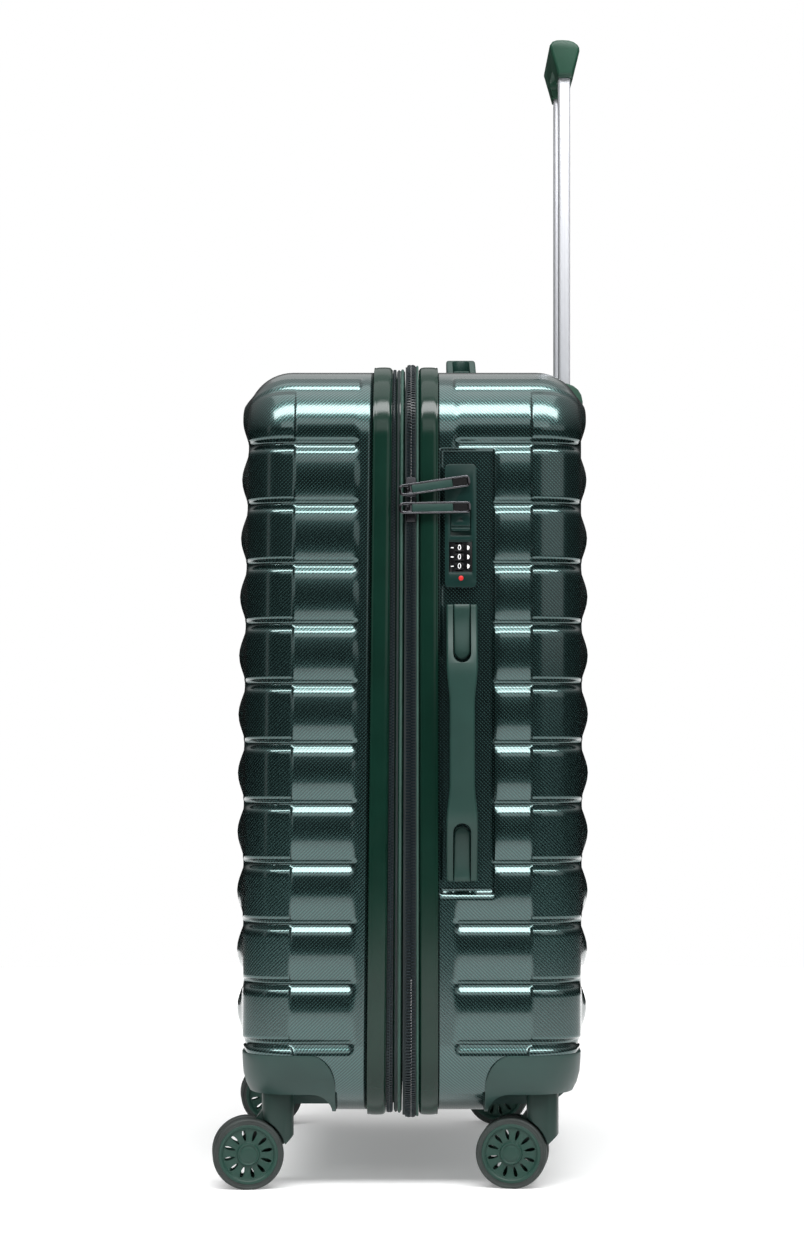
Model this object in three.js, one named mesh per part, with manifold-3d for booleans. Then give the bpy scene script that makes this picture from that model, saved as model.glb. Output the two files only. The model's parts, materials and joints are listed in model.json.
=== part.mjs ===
// Hard shell spinner suitcase: two ribbed half shells, a zipped expansion joint, a telescopic
// trolley, a combination lock and four twin wheel casters. Millimetres, +Z up, the lock on +X,
// the lid half towards -Y, the trolley half towards +Y. The origin is the middle of the footprint.
import * as THREE from 'three';
import { mergeVertices } from 'three/addons/utils/BufferGeometryUtils.js';
import Module from 'manifold-3d';

const wasm = await Module();
wasm.setup();

// ---- driving dimensions ----
const gap = 0.3;
const halfWidth = 225;
const caseBottom = 61.5;
const caseTop = 680.5;
const middleHeight = (caseTop + caseBottom) / 2;
const outlineRadius = 60;
const edgeRadius = 38;
const rearFace = 141;
const frontFace = 139;
const grooveCount = 11;
const topGroove = 615.5;
const groovePitch = 49.3;
const grooveHalf = 7;
const sideGroove = 4;
const faceGroove = 2.5;
const facePillow = 4;
const faceCrown = 1.7;
const wall = 2.7;

// Layers of the joint between the halves, as places along Y at the top of the case.
const rearBand = [4.3, 20.3];
const rearZip = [-2.1, 4];
const lidZip = [-6.8, -2.4];
const middleFrame = [-13.9, -7.1];
const frontZip = [-17.2, -14.2];
const frontBand = [-33, -17.5];
const bandProud = 4.5;
const zipProud = 6;
const frameProud = 3;
const hingeStretch = [135, 607];

// The lid half hangs a little open towards the bottom: how far each layer leans out there.
const leanKnots = [[-2.4, 0], [-7.1, 2.9], [-13.9, 2.9], [-17.2, 6]];

const handleCentreY = 39.5;
const handleWidth = 25.4;
const handleWaist = 20.4;
const handleThickness = 7;
const handleLift = 26;
const panelPlane = halfWidth - sideGroove - 0.3;
const panelY = [22.4, 65];
const panelZ = [246.4, 609.6];
const sideHandleSpan = [256, 483];
const topHandleHalf = 112.5;

const lockZ = [497, 598];
const lockFace = 227;
const lockWidth = 26;
const dialRadius = 9.3;
const dialPitch = 7.6;
const dialHeight = 6.6;
const middleDialZ = 521.9;
const buttonZ = [543.4, 558.8];

const tubeX = 40;
const tubeY = 133.5;
const tubeWide = 20;
const tubeDeep = 10;
const gripZ = [957, 990];
const gripHalf = 57;
const trolleyTravel = 300;
const bezelHalf = 75;
const bezelZ = [640, 684];
const bezelY = [112, 148];
const channelFace = 148;
const channelHalf = 62;

const wheelRadius = 29.5;
const wheelSides = 20;
const tyreInner = 24.5;
const wheelWidth = 11.2;
const forkWeb = 4.4;
const wheelInner = 5;
const axleHeight = wheelRadius * Math.cos(Math.PI / wheelSides);
const casterX = 190.5;
const casterY = 107.3;
const casterTrail = 25;
const frontYaw = THREE.MathUtils.degToRad(5);
const rearYaw = THREE.MathUtils.degToRad(-7);
const coverTop = 112.7;
const coverInner = [132, 59];
const coverPlate = [79, 82];
const coverProud = 2.8;
const coverSunk = 1.5;
const footInset = 6;
const footHeights = [106, 126];
const pinRadius = 4;
const pinTop = 89;

// ---- materials ----
function finish(colour, roughness, metalness) {
  return new THREE.MeshStandardMaterial({ color: colour, roughness, metalness });
}
const looks = {
  shell: finish(0x26423a, 0.32, 0.35),
  band: finish(0x123327, 0.2, 0.1),
  zip: finish(0x15201f, 0.7, 0),
  piping: finish(0x4a7060, 0.6, 0),
  matte: finish(0x38544c, 0.6, 0),
  cloth: finish(0x1a1d1e, 0.9, 0),
  silver: finish(0xb9bcc0, 0.3, 0.9),
  grip: finish(0x1f3f30, 0.5, 0),
  dial: finish(0x101112, 0.45, 0),
  gunmetal: finish(0x55585a, 0.3, 0.9),
  hub: finish(0x2d4b3e, 0.5, 0),
  tyre: finish(0x28262a, 0.8, 0),
};

const suitcase = new THREE.Group();

function add(name, geometry, look, parent = suitcase) {
  const mesh = new THREE.Mesh(geometry, looks[look]);
  mesh.name = name;
  parent.add(mesh);
  return mesh;
}

// ---- mesh helpers ----
// Welds a geometry to shared points, drops empty triangles and turns its faces outwards.
function weld(geometry) {
  const bare = geometry.clone();
  for (const name of Object.keys(bare.attributes)) {
    if (name !== 'position') bare.deleteAttribute(name);
  }
  const welded = mergeVertices(bare, 1e-4);
  const place = welded.attributes.position;
  const kept = [];
  const corner = [new THREE.Vector3(), new THREE.Vector3(), new THREE.Vector3()];
  let volume = 0;
  for (let i = 0; i < welded.index.count; i += 3) {
    const ids = [0, 1, 2].map((k) => welded.index.getX(i + k));
    if (ids[0] === ids[1] || ids[1] === ids[2] || ids[2] === ids[0]) continue;
    corner.forEach((c, k) => c.fromBufferAttribute(place, ids[k]));
    volume += corner[0].dot(corner[1].clone().cross(corner[2]));
    kept.push(ids);
  }
  const turned = volume < 0 ? kept.map(([a, b, c]) => [a, c, b]) : kept;
  welded.setIndex(turned.flat());
  return welded;
}

function solid(geometry) {
  const welded = weld(geometry);
  return new wasm.Manifold(new wasm.Mesh({
    numProp: 3,
    vertProperties: new Float32Array(welded.attributes.position.array),
    triVerts: new Uint32Array(welded.index.array),
  }));
}

function shape(manifold) {
  const mesh = manifold.getMesh();
  const geometry = new THREE.BufferGeometry();
  geometry.setAttribute('position', new THREE.BufferAttribute(mesh.vertProperties, 3));
  geometry.setIndex(new THREE.BufferAttribute(mesh.triVerts, 1));
  geometry.computeVertexNormals();
  return geometry;
}

function block(x, y, z) {
  const geometry = new THREE.BoxGeometry(x[1] - x[0], y[1] - y[0], z[1] - z[0]);
  geometry.translate((x[0] + x[1]) / 2, (y[0] + y[1]) / 2, (z[0] + z[1]) / 2);
  return geometry;
}

function roundedRectangle(width, height, radius) {
  const path = new THREE.Shape();
  const w = width / 2 - radius;
  const h = height / 2 - radius;
  path.absarc(w, -h, radius, -Math.PI / 2, 0);
  path.absarc(w, h, radius, 0, Math.PI / 2);
  path.absarc(-w, h, radius, Math.PI / 2, Math.PI);
  path.absarc(-w, -h, radius, Math.PI, Math.PI * 1.5);
  return path;
}

const unit = [new THREE.Vector3(1, 0, 0), new THREE.Vector3(0, 1, 0), new THREE.Vector3(0, 0, 1)];

// Extrudes an outline drawn in Y and Z along +X, from the place x[0] to x[1].
function alongX(path, x, curveSegments = 3) {
  const geometry = new THREE.ExtrudeGeometry(path, {
    depth: x[1] - x[0], bevelEnabled: false, curveSegments,
  });
  geometry.applyMatrix4(new THREE.Matrix4().makeBasis(unit[1], unit[2], unit[0]));
  return geometry.translate(x[0], 0, 0);
}

// Extrudes an outline drawn in X and Z along Y, from the place y[0] to y[1].
function alongY(path, y, curveSegments = 3) {
  const geometry = new THREE.ExtrudeGeometry(path, {
    depth: y[1] - y[0], bevelEnabled: false, curveSegments,
  });
  const backwards = unit[1].clone().negate();
  geometry.applyMatrix4(new THREE.Matrix4().makeBasis(unit[0], unit[2], backwards));
  return geometry.translate(0, y[1], 0);
}

function alongZ(path, z, curveSegments = 3) {
  const geometry = new THREE.ExtrudeGeometry(path, {
    depth: z[1] - z[0], bevelEnabled: false, curveSegments,
  });
  return geometry.translate(0, 0, z[0]);
}

// A round solid about the X axis, from [radius, x] points.
function turnedAboutX(points, sides) {
  const profile = points.map(([r, x]) => new THREE.Vector2(r, x));
  const geometry = new THREE.LatheGeometry(profile, sides);
  geometry.rotateY(Math.PI / sides);
  return weld(geometry.rotateZ(-Math.PI / 2));
}

// ---- the lean of the lid half ----
function leanAt(y) {
  if (y >= leanKnots[0][0]) return 0;
  for (let i = 1; i < leanKnots.length; i++) {
    const [y0, lean0] = leanKnots[i - 1];
    const [y1, lean1] = leanKnots[i];
    if (y >= y1) return lean0 + (lean1 - lean0) * (y - y0) / (y1 - y0);
  }
  return leanKnots[leanKnots.length - 1][1];
}

function leanedY(y, z) {
  return y - leanAt(y) * (caseTop - z) / (caseTop - caseBottom);
}

function leaned(geometry) {
  const place = geometry.attributes.position;
  for (let i = 0; i < place.count; i++) {
    place.setY(i, leanedY(place.getY(i), place.getZ(i)));
  }
  return geometry;
}

// ---- rings that follow the outline of the case ----
// Stations run from the hinge side over the bottom, the lock side and the top back to it.
function outlineStations(cornerSteps) {
  const x = halfWidth - outlineRadius;
  const low = caseBottom + outlineRadius;
  const high = caseTop - outlineRadius;
  const stations = [{ cx: -x, cz: hingeStretch[0], nx: -1, nz: 0 }];
  const corners = [[-x, low, 180], [x, low, 270], [x, high, 0], [-x, high, 90]];
  for (const [cx, cz, start] of corners) {
    for (let i = 0; i <= cornerSteps; i++) {
      const angle = THREE.MathUtils.degToRad(start + 90 * i / cornerSteps);
      stations.push({ cx, cz, nx: Math.cos(angle), nz: Math.sin(angle) });
    }
  }
  stations.push({ cx: -x, cz: hingeStretch[1], nx: -1, nz: 0 });
  return stations;
}

// Sweeps a section of [proud, y] points round the case; an open ring leaves the hinge free.
function ring(section, closed = true) {
  const stations = outlineStations(4);
  const rows = stations.map((s) => section.map(([proud, y]) => [
    s.cx + s.nx * (outlineRadius + proud), y, s.cz + s.nz * (outlineRadius + proud),
  ]));
  const soup = [];
  const spans = closed ? rows.length : rows.length - 1;
  for (let i = 0; i < spans; i++) {
    const here = rows[i];
    const next = rows[(i + 1) % rows.length];
    for (let k = 0; k < section.length; k++) {
      const m = (k + 1) % section.length;
      soup.push(...here[k], ...next[k], ...next[m], ...here[k], ...next[m], ...here[m]);
    }
  }
  if (!closed) {
    for (let k = 1; k < section.length - 1; k++) {
      const first = rows[0];
      const last = rows[rows.length - 1];
      soup.push(...first[0], ...first[k], ...first[k + 1]);
      soup.push(...last[0], ...last[k + 1], ...last[k]);
    }
  }
  const geometry = new THREE.BufferGeometry();
  geometry.setAttribute('position', new THREE.Float32BufferAttribute(soup, 3));
  return weld(geometry);
}

function bandSection([y0, y1], inner, proud, edge) {
  return [[inner, y0], [proud - edge, y0], [proud, y0 + edge], [proud, y1 - edge],
    [proud - edge, y1], [inner, y1]];
}

// ---- half shells ----
function nearestGroove(z) {
  const index = Math.round((topGroove - z) / groovePitch);
  const clamped = Math.min(grooveCount - 1, Math.max(0, index));
  return z - (topGroove - clamped * groovePitch);
}

function pillow(z) {
  const away = Math.abs(nearestGroove(z));
  const lowest = topGroove - (grooveCount - 1) * groovePitch;
  if (z < lowest || away > groovePitch - grooveHalf) return 0;
  const t = (away - grooveHalf) / (groovePitch / 2 - grooveHalf);
  if (t < 0) return 0;
  return 1 - (1 - Math.min(t, 2 - t)) ** 2;
}

// Height of the ribbed surface over the plain tray: turn is 0 on a side and 1 on the face.
function relief(y, z, turn, ribStart) {
  const groove = Math.max(0, 1 - Math.abs(nearestGroove(z)) / grooveHalf);
  const reach = THREE.MathUtils.clamp((Math.abs(y) - ribStart) / 8, 0, 1);
  const up = (z - middleHeight) / (middleHeight - coverTop);
  const crown = faceCrown * Math.max(0, 1 - up * up);
  const side = -sideGroove * groove * reach;
  const face = facePillow * pillow(z) - faceGroove * groove + crown;
  return side + (face - side) * THREE.MathUtils.smoothstep(turn, 0.3, 1);
}

// How far the face of a half is set back low down, where the corner covers lie over it.
function footDepth(z) {
  const [low, high] = footHeights;
  return footInset * THREE.MathUtils.clamp((high - z) / (high - low), 0, 1);
}

function rowHeights(ribbed, low, high) {
  if (!ribbed) return [low, high];
  const rows = [low];
  for (let i = grooveCount - 1; i >= 0; i--) {
    const z = topGroove - i * groovePitch;
    for (const offset of [-grooveHalf, 0, grooveHalf]) {
      if (z + offset > low + 0.5 && z + offset < high - 0.5) rows.push(z + offset);
    }
    if (i > 0) rows.push(z + groovePitch / 2);
  }
  rows.push(high);
  return rows;
}

// A tray open towards -Y, capped there by a flat face: walls, rounded edge and ribbed face.
function tray({ inset, face, rim, ribbed, ribStart = 0 }) {
  const width = halfWidth - inset;
  const low = caseBottom + inset;
  const high = caseTop - inset;
  const radius = outlineRadius - inset;
  const edge = edgeRadius - inset;
  const cornerSteps = 2;
  const straight = [low + radius, high - radius];
  const columns = ribbed ? [0.5, 0] : [0];
  const arcSteps = 4;

  const innerX = width - radius;
  const side = [];
  for (let i = 0; i < cornerSteps; i++) {
    const angle = -Math.PI / 4 * (1 - i / cornerSteps);
    side.push([innerX, straight[0], Math.cos(angle), Math.sin(angle)]);
  }
  for (const z of rowHeights(ribbed, ...straight)) side.push([innerX, z, 1, 0]);
  for (let i = 1; i <= cornerSteps; i++) {
    const angle = Math.PI / 4 * i / cornerSteps;
    side.push([innerX, straight[1], Math.cos(angle), Math.sin(angle)]);
  }
  const top = [];
  for (let i = 0; i <= cornerSteps; i++) {
    const angle = Math.PI / 4 * (1 + i / cornerSteps);
    top.push([innerX, straight[1], Math.cos(angle), Math.sin(angle)]);
  }
  for (const t of columns) top.push([innerX * t, straight[1], 0, 1]);
  for (const t of columns.slice(0, -1).reverse()) top.push([-innerX * t, straight[1], 0, 1]);
  for (let i = 0; i <= cornerSteps; i++) {
    const angle = Math.PI / 2 + Math.PI / 4 * i / cornerSteps;
    top.push([-innerX, straight[1], Math.cos(angle), Math.sin(angle)]);
  }
  const mirrorX = ([cx, cz, nx, nz]) => [-cx, cz, -nx, nz];
  const mirrorZ = ([cx, cz, nx, nz]) => [cx, low + high - cz, nx, -nz];
  const left = side.map(mirrorX);
  const bottom = top.map(mirrorZ);
  const loop = [...side.slice(0, -1), ...top.slice(0, -1), ...left.slice().reverse().slice(0, -1),
    ...bottom.slice().reverse().slice(0, -1)];

  const steps = [[rim, 0, 0]];
  const ribPlaces = ribbed ? [ribStart, ribStart + 8] : [];
  for (const y of ribPlaces) steps.push([y, 0, 0]);
  for (let i = 0; i <= arcSteps; i++) {
    const angle = Math.PI / 2 * i / arcSteps;
    steps.push([face - edge + edge * Math.sin(angle), edge * (1 - Math.cos(angle)), angle]);
  }
  function place([cx, cz, nx, nz], [y, shrink, angle]) {
    const base = radius - shrink;
    const z = cz + nz * base;
    const rise = ribbed ? relief(y, z, Math.sin(angle), ribStart) : 0;
    const out = base + rise * Math.cos(angle);
    const foot = ribbed && y > face - edge - 0.1 ? footDepth(z) : 0;
    return [cx + nx * out, y + rise * Math.sin(angle) - foot, cz + nz * out];
  }
  const soup = [];
  const quad = (a, b, c, d) => soup.push(...a, ...b, ...c, ...a, ...c, ...d);
  for (let m = 0; m < loop.length; m++) {
    const here = loop[m];
    const next = loop[(m + 1) % loop.length];
    for (let k = 1; k < steps.length; k++) {
      quad(place(here, steps[k - 1]), place(next, steps[k - 1]),
        place(next, steps[k]), place(here, steps[k]));
    }
    soup.push(...place(here, steps[0]), 0, rim, middleHeight, ...place(next, steps[0]));
  }
  const last = steps[steps.length - 1];
  const rows = side.length - 1;
  const cols = top.length - 1;
  const ease = (i, count) => Math.max(0, 1 - i / count);
  function facePoint(i, j) {
    if (j === 0) return place(side[i], last);
    if (j === cols) return place(left[i], last);
    if (i === 0) return place(bottom[j], last);
    if (i === rows) return place(top[j], last);
    const flat = (station) => [station[0] + station[2] * (radius - edge),
      station[1] + station[3] * (radius - edge)];
    const [sideX, z] = flat(side[i]);
    const [x, topZ] = flat(top[j]);
    const corner = flat(side[rows]);
    const nearEdge = ease(j, cornerSteps) - ease(cols - j, cornerSteps);
    const nearEnd = ease(rows - i, cornerSteps) - ease(i, cornerSteps);
    const shiftedX = x + nearEdge * (sideX - corner[0]);
    const shiftedZ = z + nearEnd * (topZ - corner[1]);
    const rise = ribbed ? relief(face, shiftedZ, 1, ribStart) - footDepth(shiftedZ) : 0;
    return [shiftedX, face + rise, shiftedZ];
  }
  for (let i = 0; i < rows; i++) {
    for (let j = 0; j < cols; j++) {
      quad(facePoint(i, j), facePoint(i + 1, j), facePoint(i + 1, j + 1), facePoint(i, j + 1));
    }
  }
  const geometry = new THREE.BufferGeometry();
  geometry.setAttribute('position', new THREE.Float32BufferAttribute(soup, 3));
  return weld(geometry);
}

function mirroredY(geometry) {
  return weld(geometry.clone().scale(1, -1, 1));
}

const shellInset = sideGroove + wall;
const caseFloor = rearFace - faceGroove - wall;

// The pockets over the casters, cut from both lower corners of a half.
function cornerPockets(gapAround, ceiling = coverPlate[1] + gap) {
  const y = [coverInner[1] - gapAround, 170];
  const z = [30, ceiling];
  const right = solid(block([coverInner[0] - gapAround, 250], y, z));
  const left = solid(block([-250, -coverInner[0] + gapAround], y, z));
  return right.add(left);
}

// What the hollow leaves standing behind the set back foot of a half.
function footWall(face) {
  return solid(block([-250, 250], [face - footInset - wall, 170], [0, footHeights[1]]));
}

function rearShell() {
  const outer = solid(tray({ inset: 0, face: rearFace, rim: rearBand[1] + gap, ribbed: true,
    ribStart: 32 }));
  const channel = solid(block([-channelHalf, channelHalf], [110, channelFace], [76, 660]));
  const hollow = solid(tray({ inset: shellInset, face: caseFloor, rim: 0, ribbed: false }))
    .subtract(footWall(rearFace));
  const channelHollow = solid(block([-channelHalf + wall, channelHalf - wall],
    [100, channelFace - wall], [80, 650]));
  const bezelRoom = solid(block([-bezelHalf - gap, bezelHalf + gap], [bezelY[0] - gap, 170],
    [bezelZ[0] - gap, 700]));
  const panel = solid(block([panelPlane, 240], panelY, panelZ));
  const lockHole = solid(block([200, 240], [handleCentreY - 12, handleCentreY + 10],
    [lockZ[0] + 4, lockZ[1] - 4]));
  return shape(outer.add(channel).subtract(hollow).subtract(channelHollow).subtract(bezelRoom)
    .subtract(panel).subtract(lockHole).subtract(cornerPockets(gap)));
}

function frontShell() {
  const outer = solid(tray({ inset: 0, face: frontFace, rim: -frontBand[0] + gap, ribbed: true,
    ribStart: 42 }));
  const hollow = solid(tray({ inset: shellInset, face: frontFace - faceGroove - wall, rim: 20,
    ribbed: false })).subtract(footWall(frontFace));
  const half = outer.subtract(hollow).subtract(cornerPockets(gap));
  return leaned(mirroredY(shape(half)));
}

// A corner cover: outer walls round the shell corner, a plate over the caster, inner skirts.
function cornerCover(face) {
  const wrap = solid(tray({ inset: -coverProud, face: face - coverSunk, rim: 20, ribbed: false }));
  const region = solid(block([coverInner[0], 240], [coverInner[1], 170],
    [caseBottom + gap, coverTop]));
  const back = face - footInset + coverSunk + 3 * gap;
  const shellSpace = solid(tray({ inset: -gap, face: back, rim: 10, ribbed: false }));
  const above = solid(block([100, 260], [20, 180], [coverPlate[1], 140]));
  const pocket = solid(block([coverInner[0] + 3, 260], [coverInner[1] + 3, 180],
    [20, coverPlate[0]]));
  const hole = new THREE.CylinderGeometry(pinRadius + 0.6, pinRadius + 0.6, 20, 12);
  hole.rotateX(Math.PI / 2).translate(casterX, casterY, coverPlate[0]);
  return shape(wrap.intersect(region).subtract(shellSpace.intersect(above)).subtract(pocket)
    .subtract(solid(hole)));
}

// ---- linings and soft pieces ----
function rearLining() {
  const inset = shellInset + 1;
  const outer = solid(tray({ inset, face: 125, rim: 5, ribbed: false }));
  const inner = solid(tray({ inset: inset + 1.5, face: 123.5, rim: -5, ribbed: false }));
  const lockRoom = solid(block([195, 230], [handleCentreY - 18, handleCentreY + 16],
    [lockZ[0] - 4, lockZ[1] + 4]));
  const bezelRoom = solid(block([-bezelHalf - 1, bezelHalf + 1], [bezelY[0] - 1, 150],
    [bezelZ[0] - 1, 700]));
  return shape(outer.subtract(inner).subtract(lockRoom).subtract(bezelRoom)
    .subtract(cornerPockets(1, pinTop + 2)));
}

function dividerPanel() {
  const inset = 12.5;
  const height = caseTop - caseBottom - 2 * inset;
  const path = roundedRectangle(2 * (halfWidth - inset), height, outlineRadius - inset);
  const panel = alongY(path, [-16, -14.2], 4).translate(0, 0, middleHeight);
  return leaned(weld(panel));
}

function packingStraps() {
  const strap = (turn) => solid(block([-13, 13], [119.5, 121.5], [-265, 265]).rotateY(turn));
  const buckle = solid(block([-32, 32], [117, 121.5], [-22, 22]));
  return shape(strap(0.55).add(strap(-0.55)).add(buckle)).translate(0, 0, middleHeight);
}

function hingeTape() {
  const x = -halfWidth - 1;
  return block([x - 1.2, x], [-6.6, 3.8], [hingeStretch[0] + 1, hingeStretch[1] - 1]);
}

// ---- carry handles, drawn along Z with their outer side towards +X ----
function handleProfile(half) {
  const path = new THREE.Shape();
  const rise = 62;
  const low = 9;
  path.moveTo(0.6, -half);
  path.lineTo(low - 3, -half);
  path.lineTo(low, -half + 3);
  path.bezierCurveTo(low + 6, -half + 30, handleLift, -half + 40, handleLift, -half + rise);
  path.lineTo(handleLift, half - rise);
  path.bezierCurveTo(handleLift, half - 40, low + 6, half - 30, low, half - 3);
  path.lineTo(low - 3, half);
  path.lineTo(0.6, half);
  path.lineTo(0.6, half - 26);
  const under = handleLift - handleThickness;
  path.bezierCurveTo(8, half - 38, under, half - 50, under, half - rise - 4);
  path.lineTo(under, -half + rise + 4);
  path.bezierCurveTo(under, -half + 50, 8, -half + 38, 0.6, -half + 26);
  return path;
}

function handleStrap(half) {
  const band = alongY(handleProfile(half), [-handleWidth / 2, handleWidth / 2], 5);
  const slots = [-1, 1].map((end) => {
    const z = end > 0 ? [half - 48, half + 5] : [-half - 5, -half + 48];
    return solid(block([-5, 40], [-7.3, 7.3], z));
  });
  const waists = [-1, 1].map((side) => {
    const y = [handleWaist / 2, handleWidth];
    return solid(block([-5, 40], side > 0 ? y : [-y[1], -y[0]], [-half + 76, half - 76]));
  });
  let strap = solid(band);
  for (const cut of [...slots, ...waists]) strap = strap.subtract(cut);
  return shape(strap);
}

function handleAnchor() {
  const path = new THREE.Shape();
  path.moveTo(-6.8, 0);
  path.lineTo(6.8, 0);
  path.lineTo(6.8, 38);
  path.absarc(0, 38, 6.8, 0, Math.PI);
  return weld(alongX(path, [0.3, 9.5], 4));
}

function addHandle(group, half, names) {
  add(names[0], handleStrap(half), 'matte', group);
  const upper = add(names[1], handleAnchor(), 'matte', group);
  upper.rotation.x = Math.PI;
  upper.position.z = half;
  const lower = add(names[2], handleAnchor(), 'matte', group);
  lower.position.z = -half;
  suitcase.add(group);
}

// ---- lock ----
function lockBody() {
  const z = (lockZ[0] + lockZ[1]) / 2;
  const height = lockZ[1] - lockZ[0];
  const face = alongX(roundedRectangle(lockWidth, height, 4), [panelPlane + gap, lockFace]);
  const housing = block([203, panelPlane + gap + 1], [-11, 9], [-height / 2 + 5, height / 2 - 5]);
  const dialsZ = [middleDialZ - 1.7 * dialPitch - z, middleDialZ + 1.7 * dialPitch - z];
  const dialRoom = block([190, lockFace - 0.8], [-10.6, 8.6], dialsZ);
  const window = block([210, 240], [-8.4, 8.4], dialsZ);
  const buttonRoom = block([212, 240], [-8.4, 8.4], [buttonZ[0] - 4.3 - z, buttonZ[1] + 0.4 - z]);
  const rod = new THREE.CylinderGeometry(1.5, 1.5, dialsZ[1] - dialsZ[0] + 2, 8);
  rod.rotateX(Math.PI / 2).translate(lockFace - dialRadius - 0.2, -1, (dialsZ[0] + dialsZ[1]) / 2);
  const body = solid(face).add(solid(housing)).subtract(solid(dialRoom))
    .subtract(solid(window)).subtract(solid(buttonRoom)).add(solid(rod));
  return shape(body).translate(0, handleCentreY - 1, z);
}

function lockDial() {
  const rim = new THREE.Shape();
  rim.absarc(0, 0, dialRadius, 0, Math.PI * 2);
  const bore = new THREE.Path();
  bore.absarc(0, 0, 2, 0, Math.PI * 2, true);
  rim.holes.push(bore);
  return weld(alongZ(rim, [-dialHeight / 2, dialHeight / 2], 10));
}

function lockButton() {
  const path = roundedRectangle(16, buttonZ[1] - buttonZ[0], 1.5);
  return weld(alongX(path, [213, lockFace + 0.6], 2));
}

// ---- zip sliders ----
function zipSlider(length, crownZ) {
  const body = solid(alongX(roundedRectangle(9, length, 2), [0, 2.1]));
  const crown = solid(block([1, 6.8], [-3.4, -1.8], crownZ));
  return shape(body.add(crown));
}

function zipPuller(length) {
  const path = new THREE.Shape();
  path.moveTo(0, -4.4);
  path.lineTo(length - 4, -4.4);
  path.absarc(length - 4, -0.4, 4, -Math.PI / 2, 0);
  path.absarc(length - 4, 0.4, 4, 0, Math.PI / 2);
  path.lineTo(0, 4.4);
  const eye = new THREE.Path();
  eye.moveTo(1.6, -2.8);
  eye.lineTo(1.6, 2.8);
  eye.lineTo(8, 2.8);
  eye.lineTo(8, -2.8);
  path.holes.push(eye);
  return weld(alongX(path, [-1.1, 1.1], 3));
}

// ---- trolley ----
function tube(wide, deep, thickness, z) {
  const path = roundedRectangle(wide, deep, 2.5);
  path.holes.push(roundedRectangle(wide - 2 * thickness, deep - 2 * thickness, 1.5));
  return weld(alongZ(path, z, 2));
}

function trolleyGrip() {
  const path = new THREE.Shape();
  path.moveTo(128, gripZ[0]);
  path.lineTo(139, gripZ[0]);
  path.lineTo(146.3, gripZ[1] - 8);
  path.lineTo(145.5, gripZ[1] - 5.5);
  path.quadraticCurveTo(137, gripZ[1], 128, gripZ[1]);
  path.quadraticCurveTo(121, gripZ[1] - 0.5, 120, gripZ[1] - 4);
  const bar = solid(alongX(path, [-gripHalf, gripHalf], 4));
  const notch = solid(block([-26, 26], [100, 160], [gripZ[0] - 5, gripZ[0] + 13]));
  const buttonRoom = solid(block([-20.4, 20.4], [126.6, 139.4], [gripZ[1] - 12, gripZ[1] + 5]));
  let grip = bar.subtract(notch).subtract(buttonRoom);
  for (const x of [-tubeX, tubeX]) {
    const half = tubeWide / 2 + gap;
    grip = grip.subtract(solid(block([x - half, x + half],
      [tubeY - tubeDeep / 2 - gap, tubeY + tubeDeep / 2 + gap], [gripZ[0] - 5, gripZ[0] + 16])));
  }
  return shape(grip);
}

function gripButton() {
  const path = roundedRectangle(40, 12, 3);
  return weld(alongZ(path, [gripZ[1] - 7.6, gripZ[1] + 0.6], 2).translate(0, 133, 0));
}

function trolleyBezel() {
  const path = new THREE.Shape();
  path.moveTo(bezelY[0], bezelZ[0]);
  path.lineTo(bezelY[1], bezelZ[0]);
  path.lineTo(bezelY[1], bezelZ[1] - 16);
  path.quadraticCurveTo(bezelY[1] - 1, bezelZ[1] - 3, bezelY[1] - 14, bezelZ[1]);
  path.lineTo(bezelY[0], bezelZ[1]);
  let bezel = solid(alongX(path, [-bezelHalf, bezelHalf], 4));
  bezel = bezel.subtract(solid(block([-gripHalf - 4, gripHalf + 4], [bezelY[0] + 5, 160],
    [bezelZ[0] + 12, 700])));
  for (const x of [-tubeX, tubeX]) {
    const half = tubeWide / 2 + 0.5;
    bezel = bezel.subtract(solid(block([x - half, x + half],
      [tubeY - tubeDeep / 2 - 0.5, tubeY + tubeDeep / 2 + 0.5], [630, 660])));
  }
  return shape(bezel);
}

// ---- casters, about a vertical axis through the origin of their own group ----
function casterFork() {
  const web = new THREE.Shape();
  web.moveTo(-12, 66);
  web.lineTo(-casterTrail - 9, axleHeight + 6);
  web.absarc(-casterTrail, axleHeight, 9, Math.PI * 0.8, Math.PI * 1.6);
  web.lineTo(6, 37);
  web.lineTo(13, 44);
  web.lineTo(13, 66);
  const side = new THREE.Shape();
  side.moveTo(-13, coverPlate[0] - gap);
  side.lineTo(-13, 40);
  side.lineTo(6, 37);
  side.lineTo(13, 44);
  side.lineTo(13, coverPlate[0] - gap);
  const column = solid(alongZ(roundedRectangle(26, 26, 8), [30, coverPlate[0] - gap], 3))
    .intersect(solid(alongX(side, [-20, 20])));
  const wheelRoom = new THREE.CylinderGeometry(wheelRadius + 2, wheelRadius + 2, 60, 32);
  wheelRoom.rotateZ(Math.PI / 2).translate(0, -casterTrail, axleHeight);
  const pin = new THREE.CylinderGeometry(pinRadius, pinRadius, 14, 12);
  pin.rotateX(Math.PI / 2).translate(0, 0, pinTop - 7);
  const axle = new THREE.CylinderGeometry(2.5, 2.5, 26, 12);
  axle.rotateZ(Math.PI / 2).translate(0, -casterTrail, axleHeight);
  let fork = column.subtract(solid(wheelRoom)).add(solid(alongX(web, [-forkWeb, forkWeb], 4)));
  for (const piece of [pin, axle]) fork = fork.add(solid(piece));
  return shape(fork);
}

function casterHub() {
  const w = wheelWidth;
  return turnedAboutX([[0, w - 0.8], [8.8, w - 0.8], [9.4, w - 2.2], [20.4, w - 2.2],
    [21, w], [tyreInner - gap, w], [tyreInner - gap, 0], [2.9, 0], [2.9, 9], [0, 9]], wheelSides);
}

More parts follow.
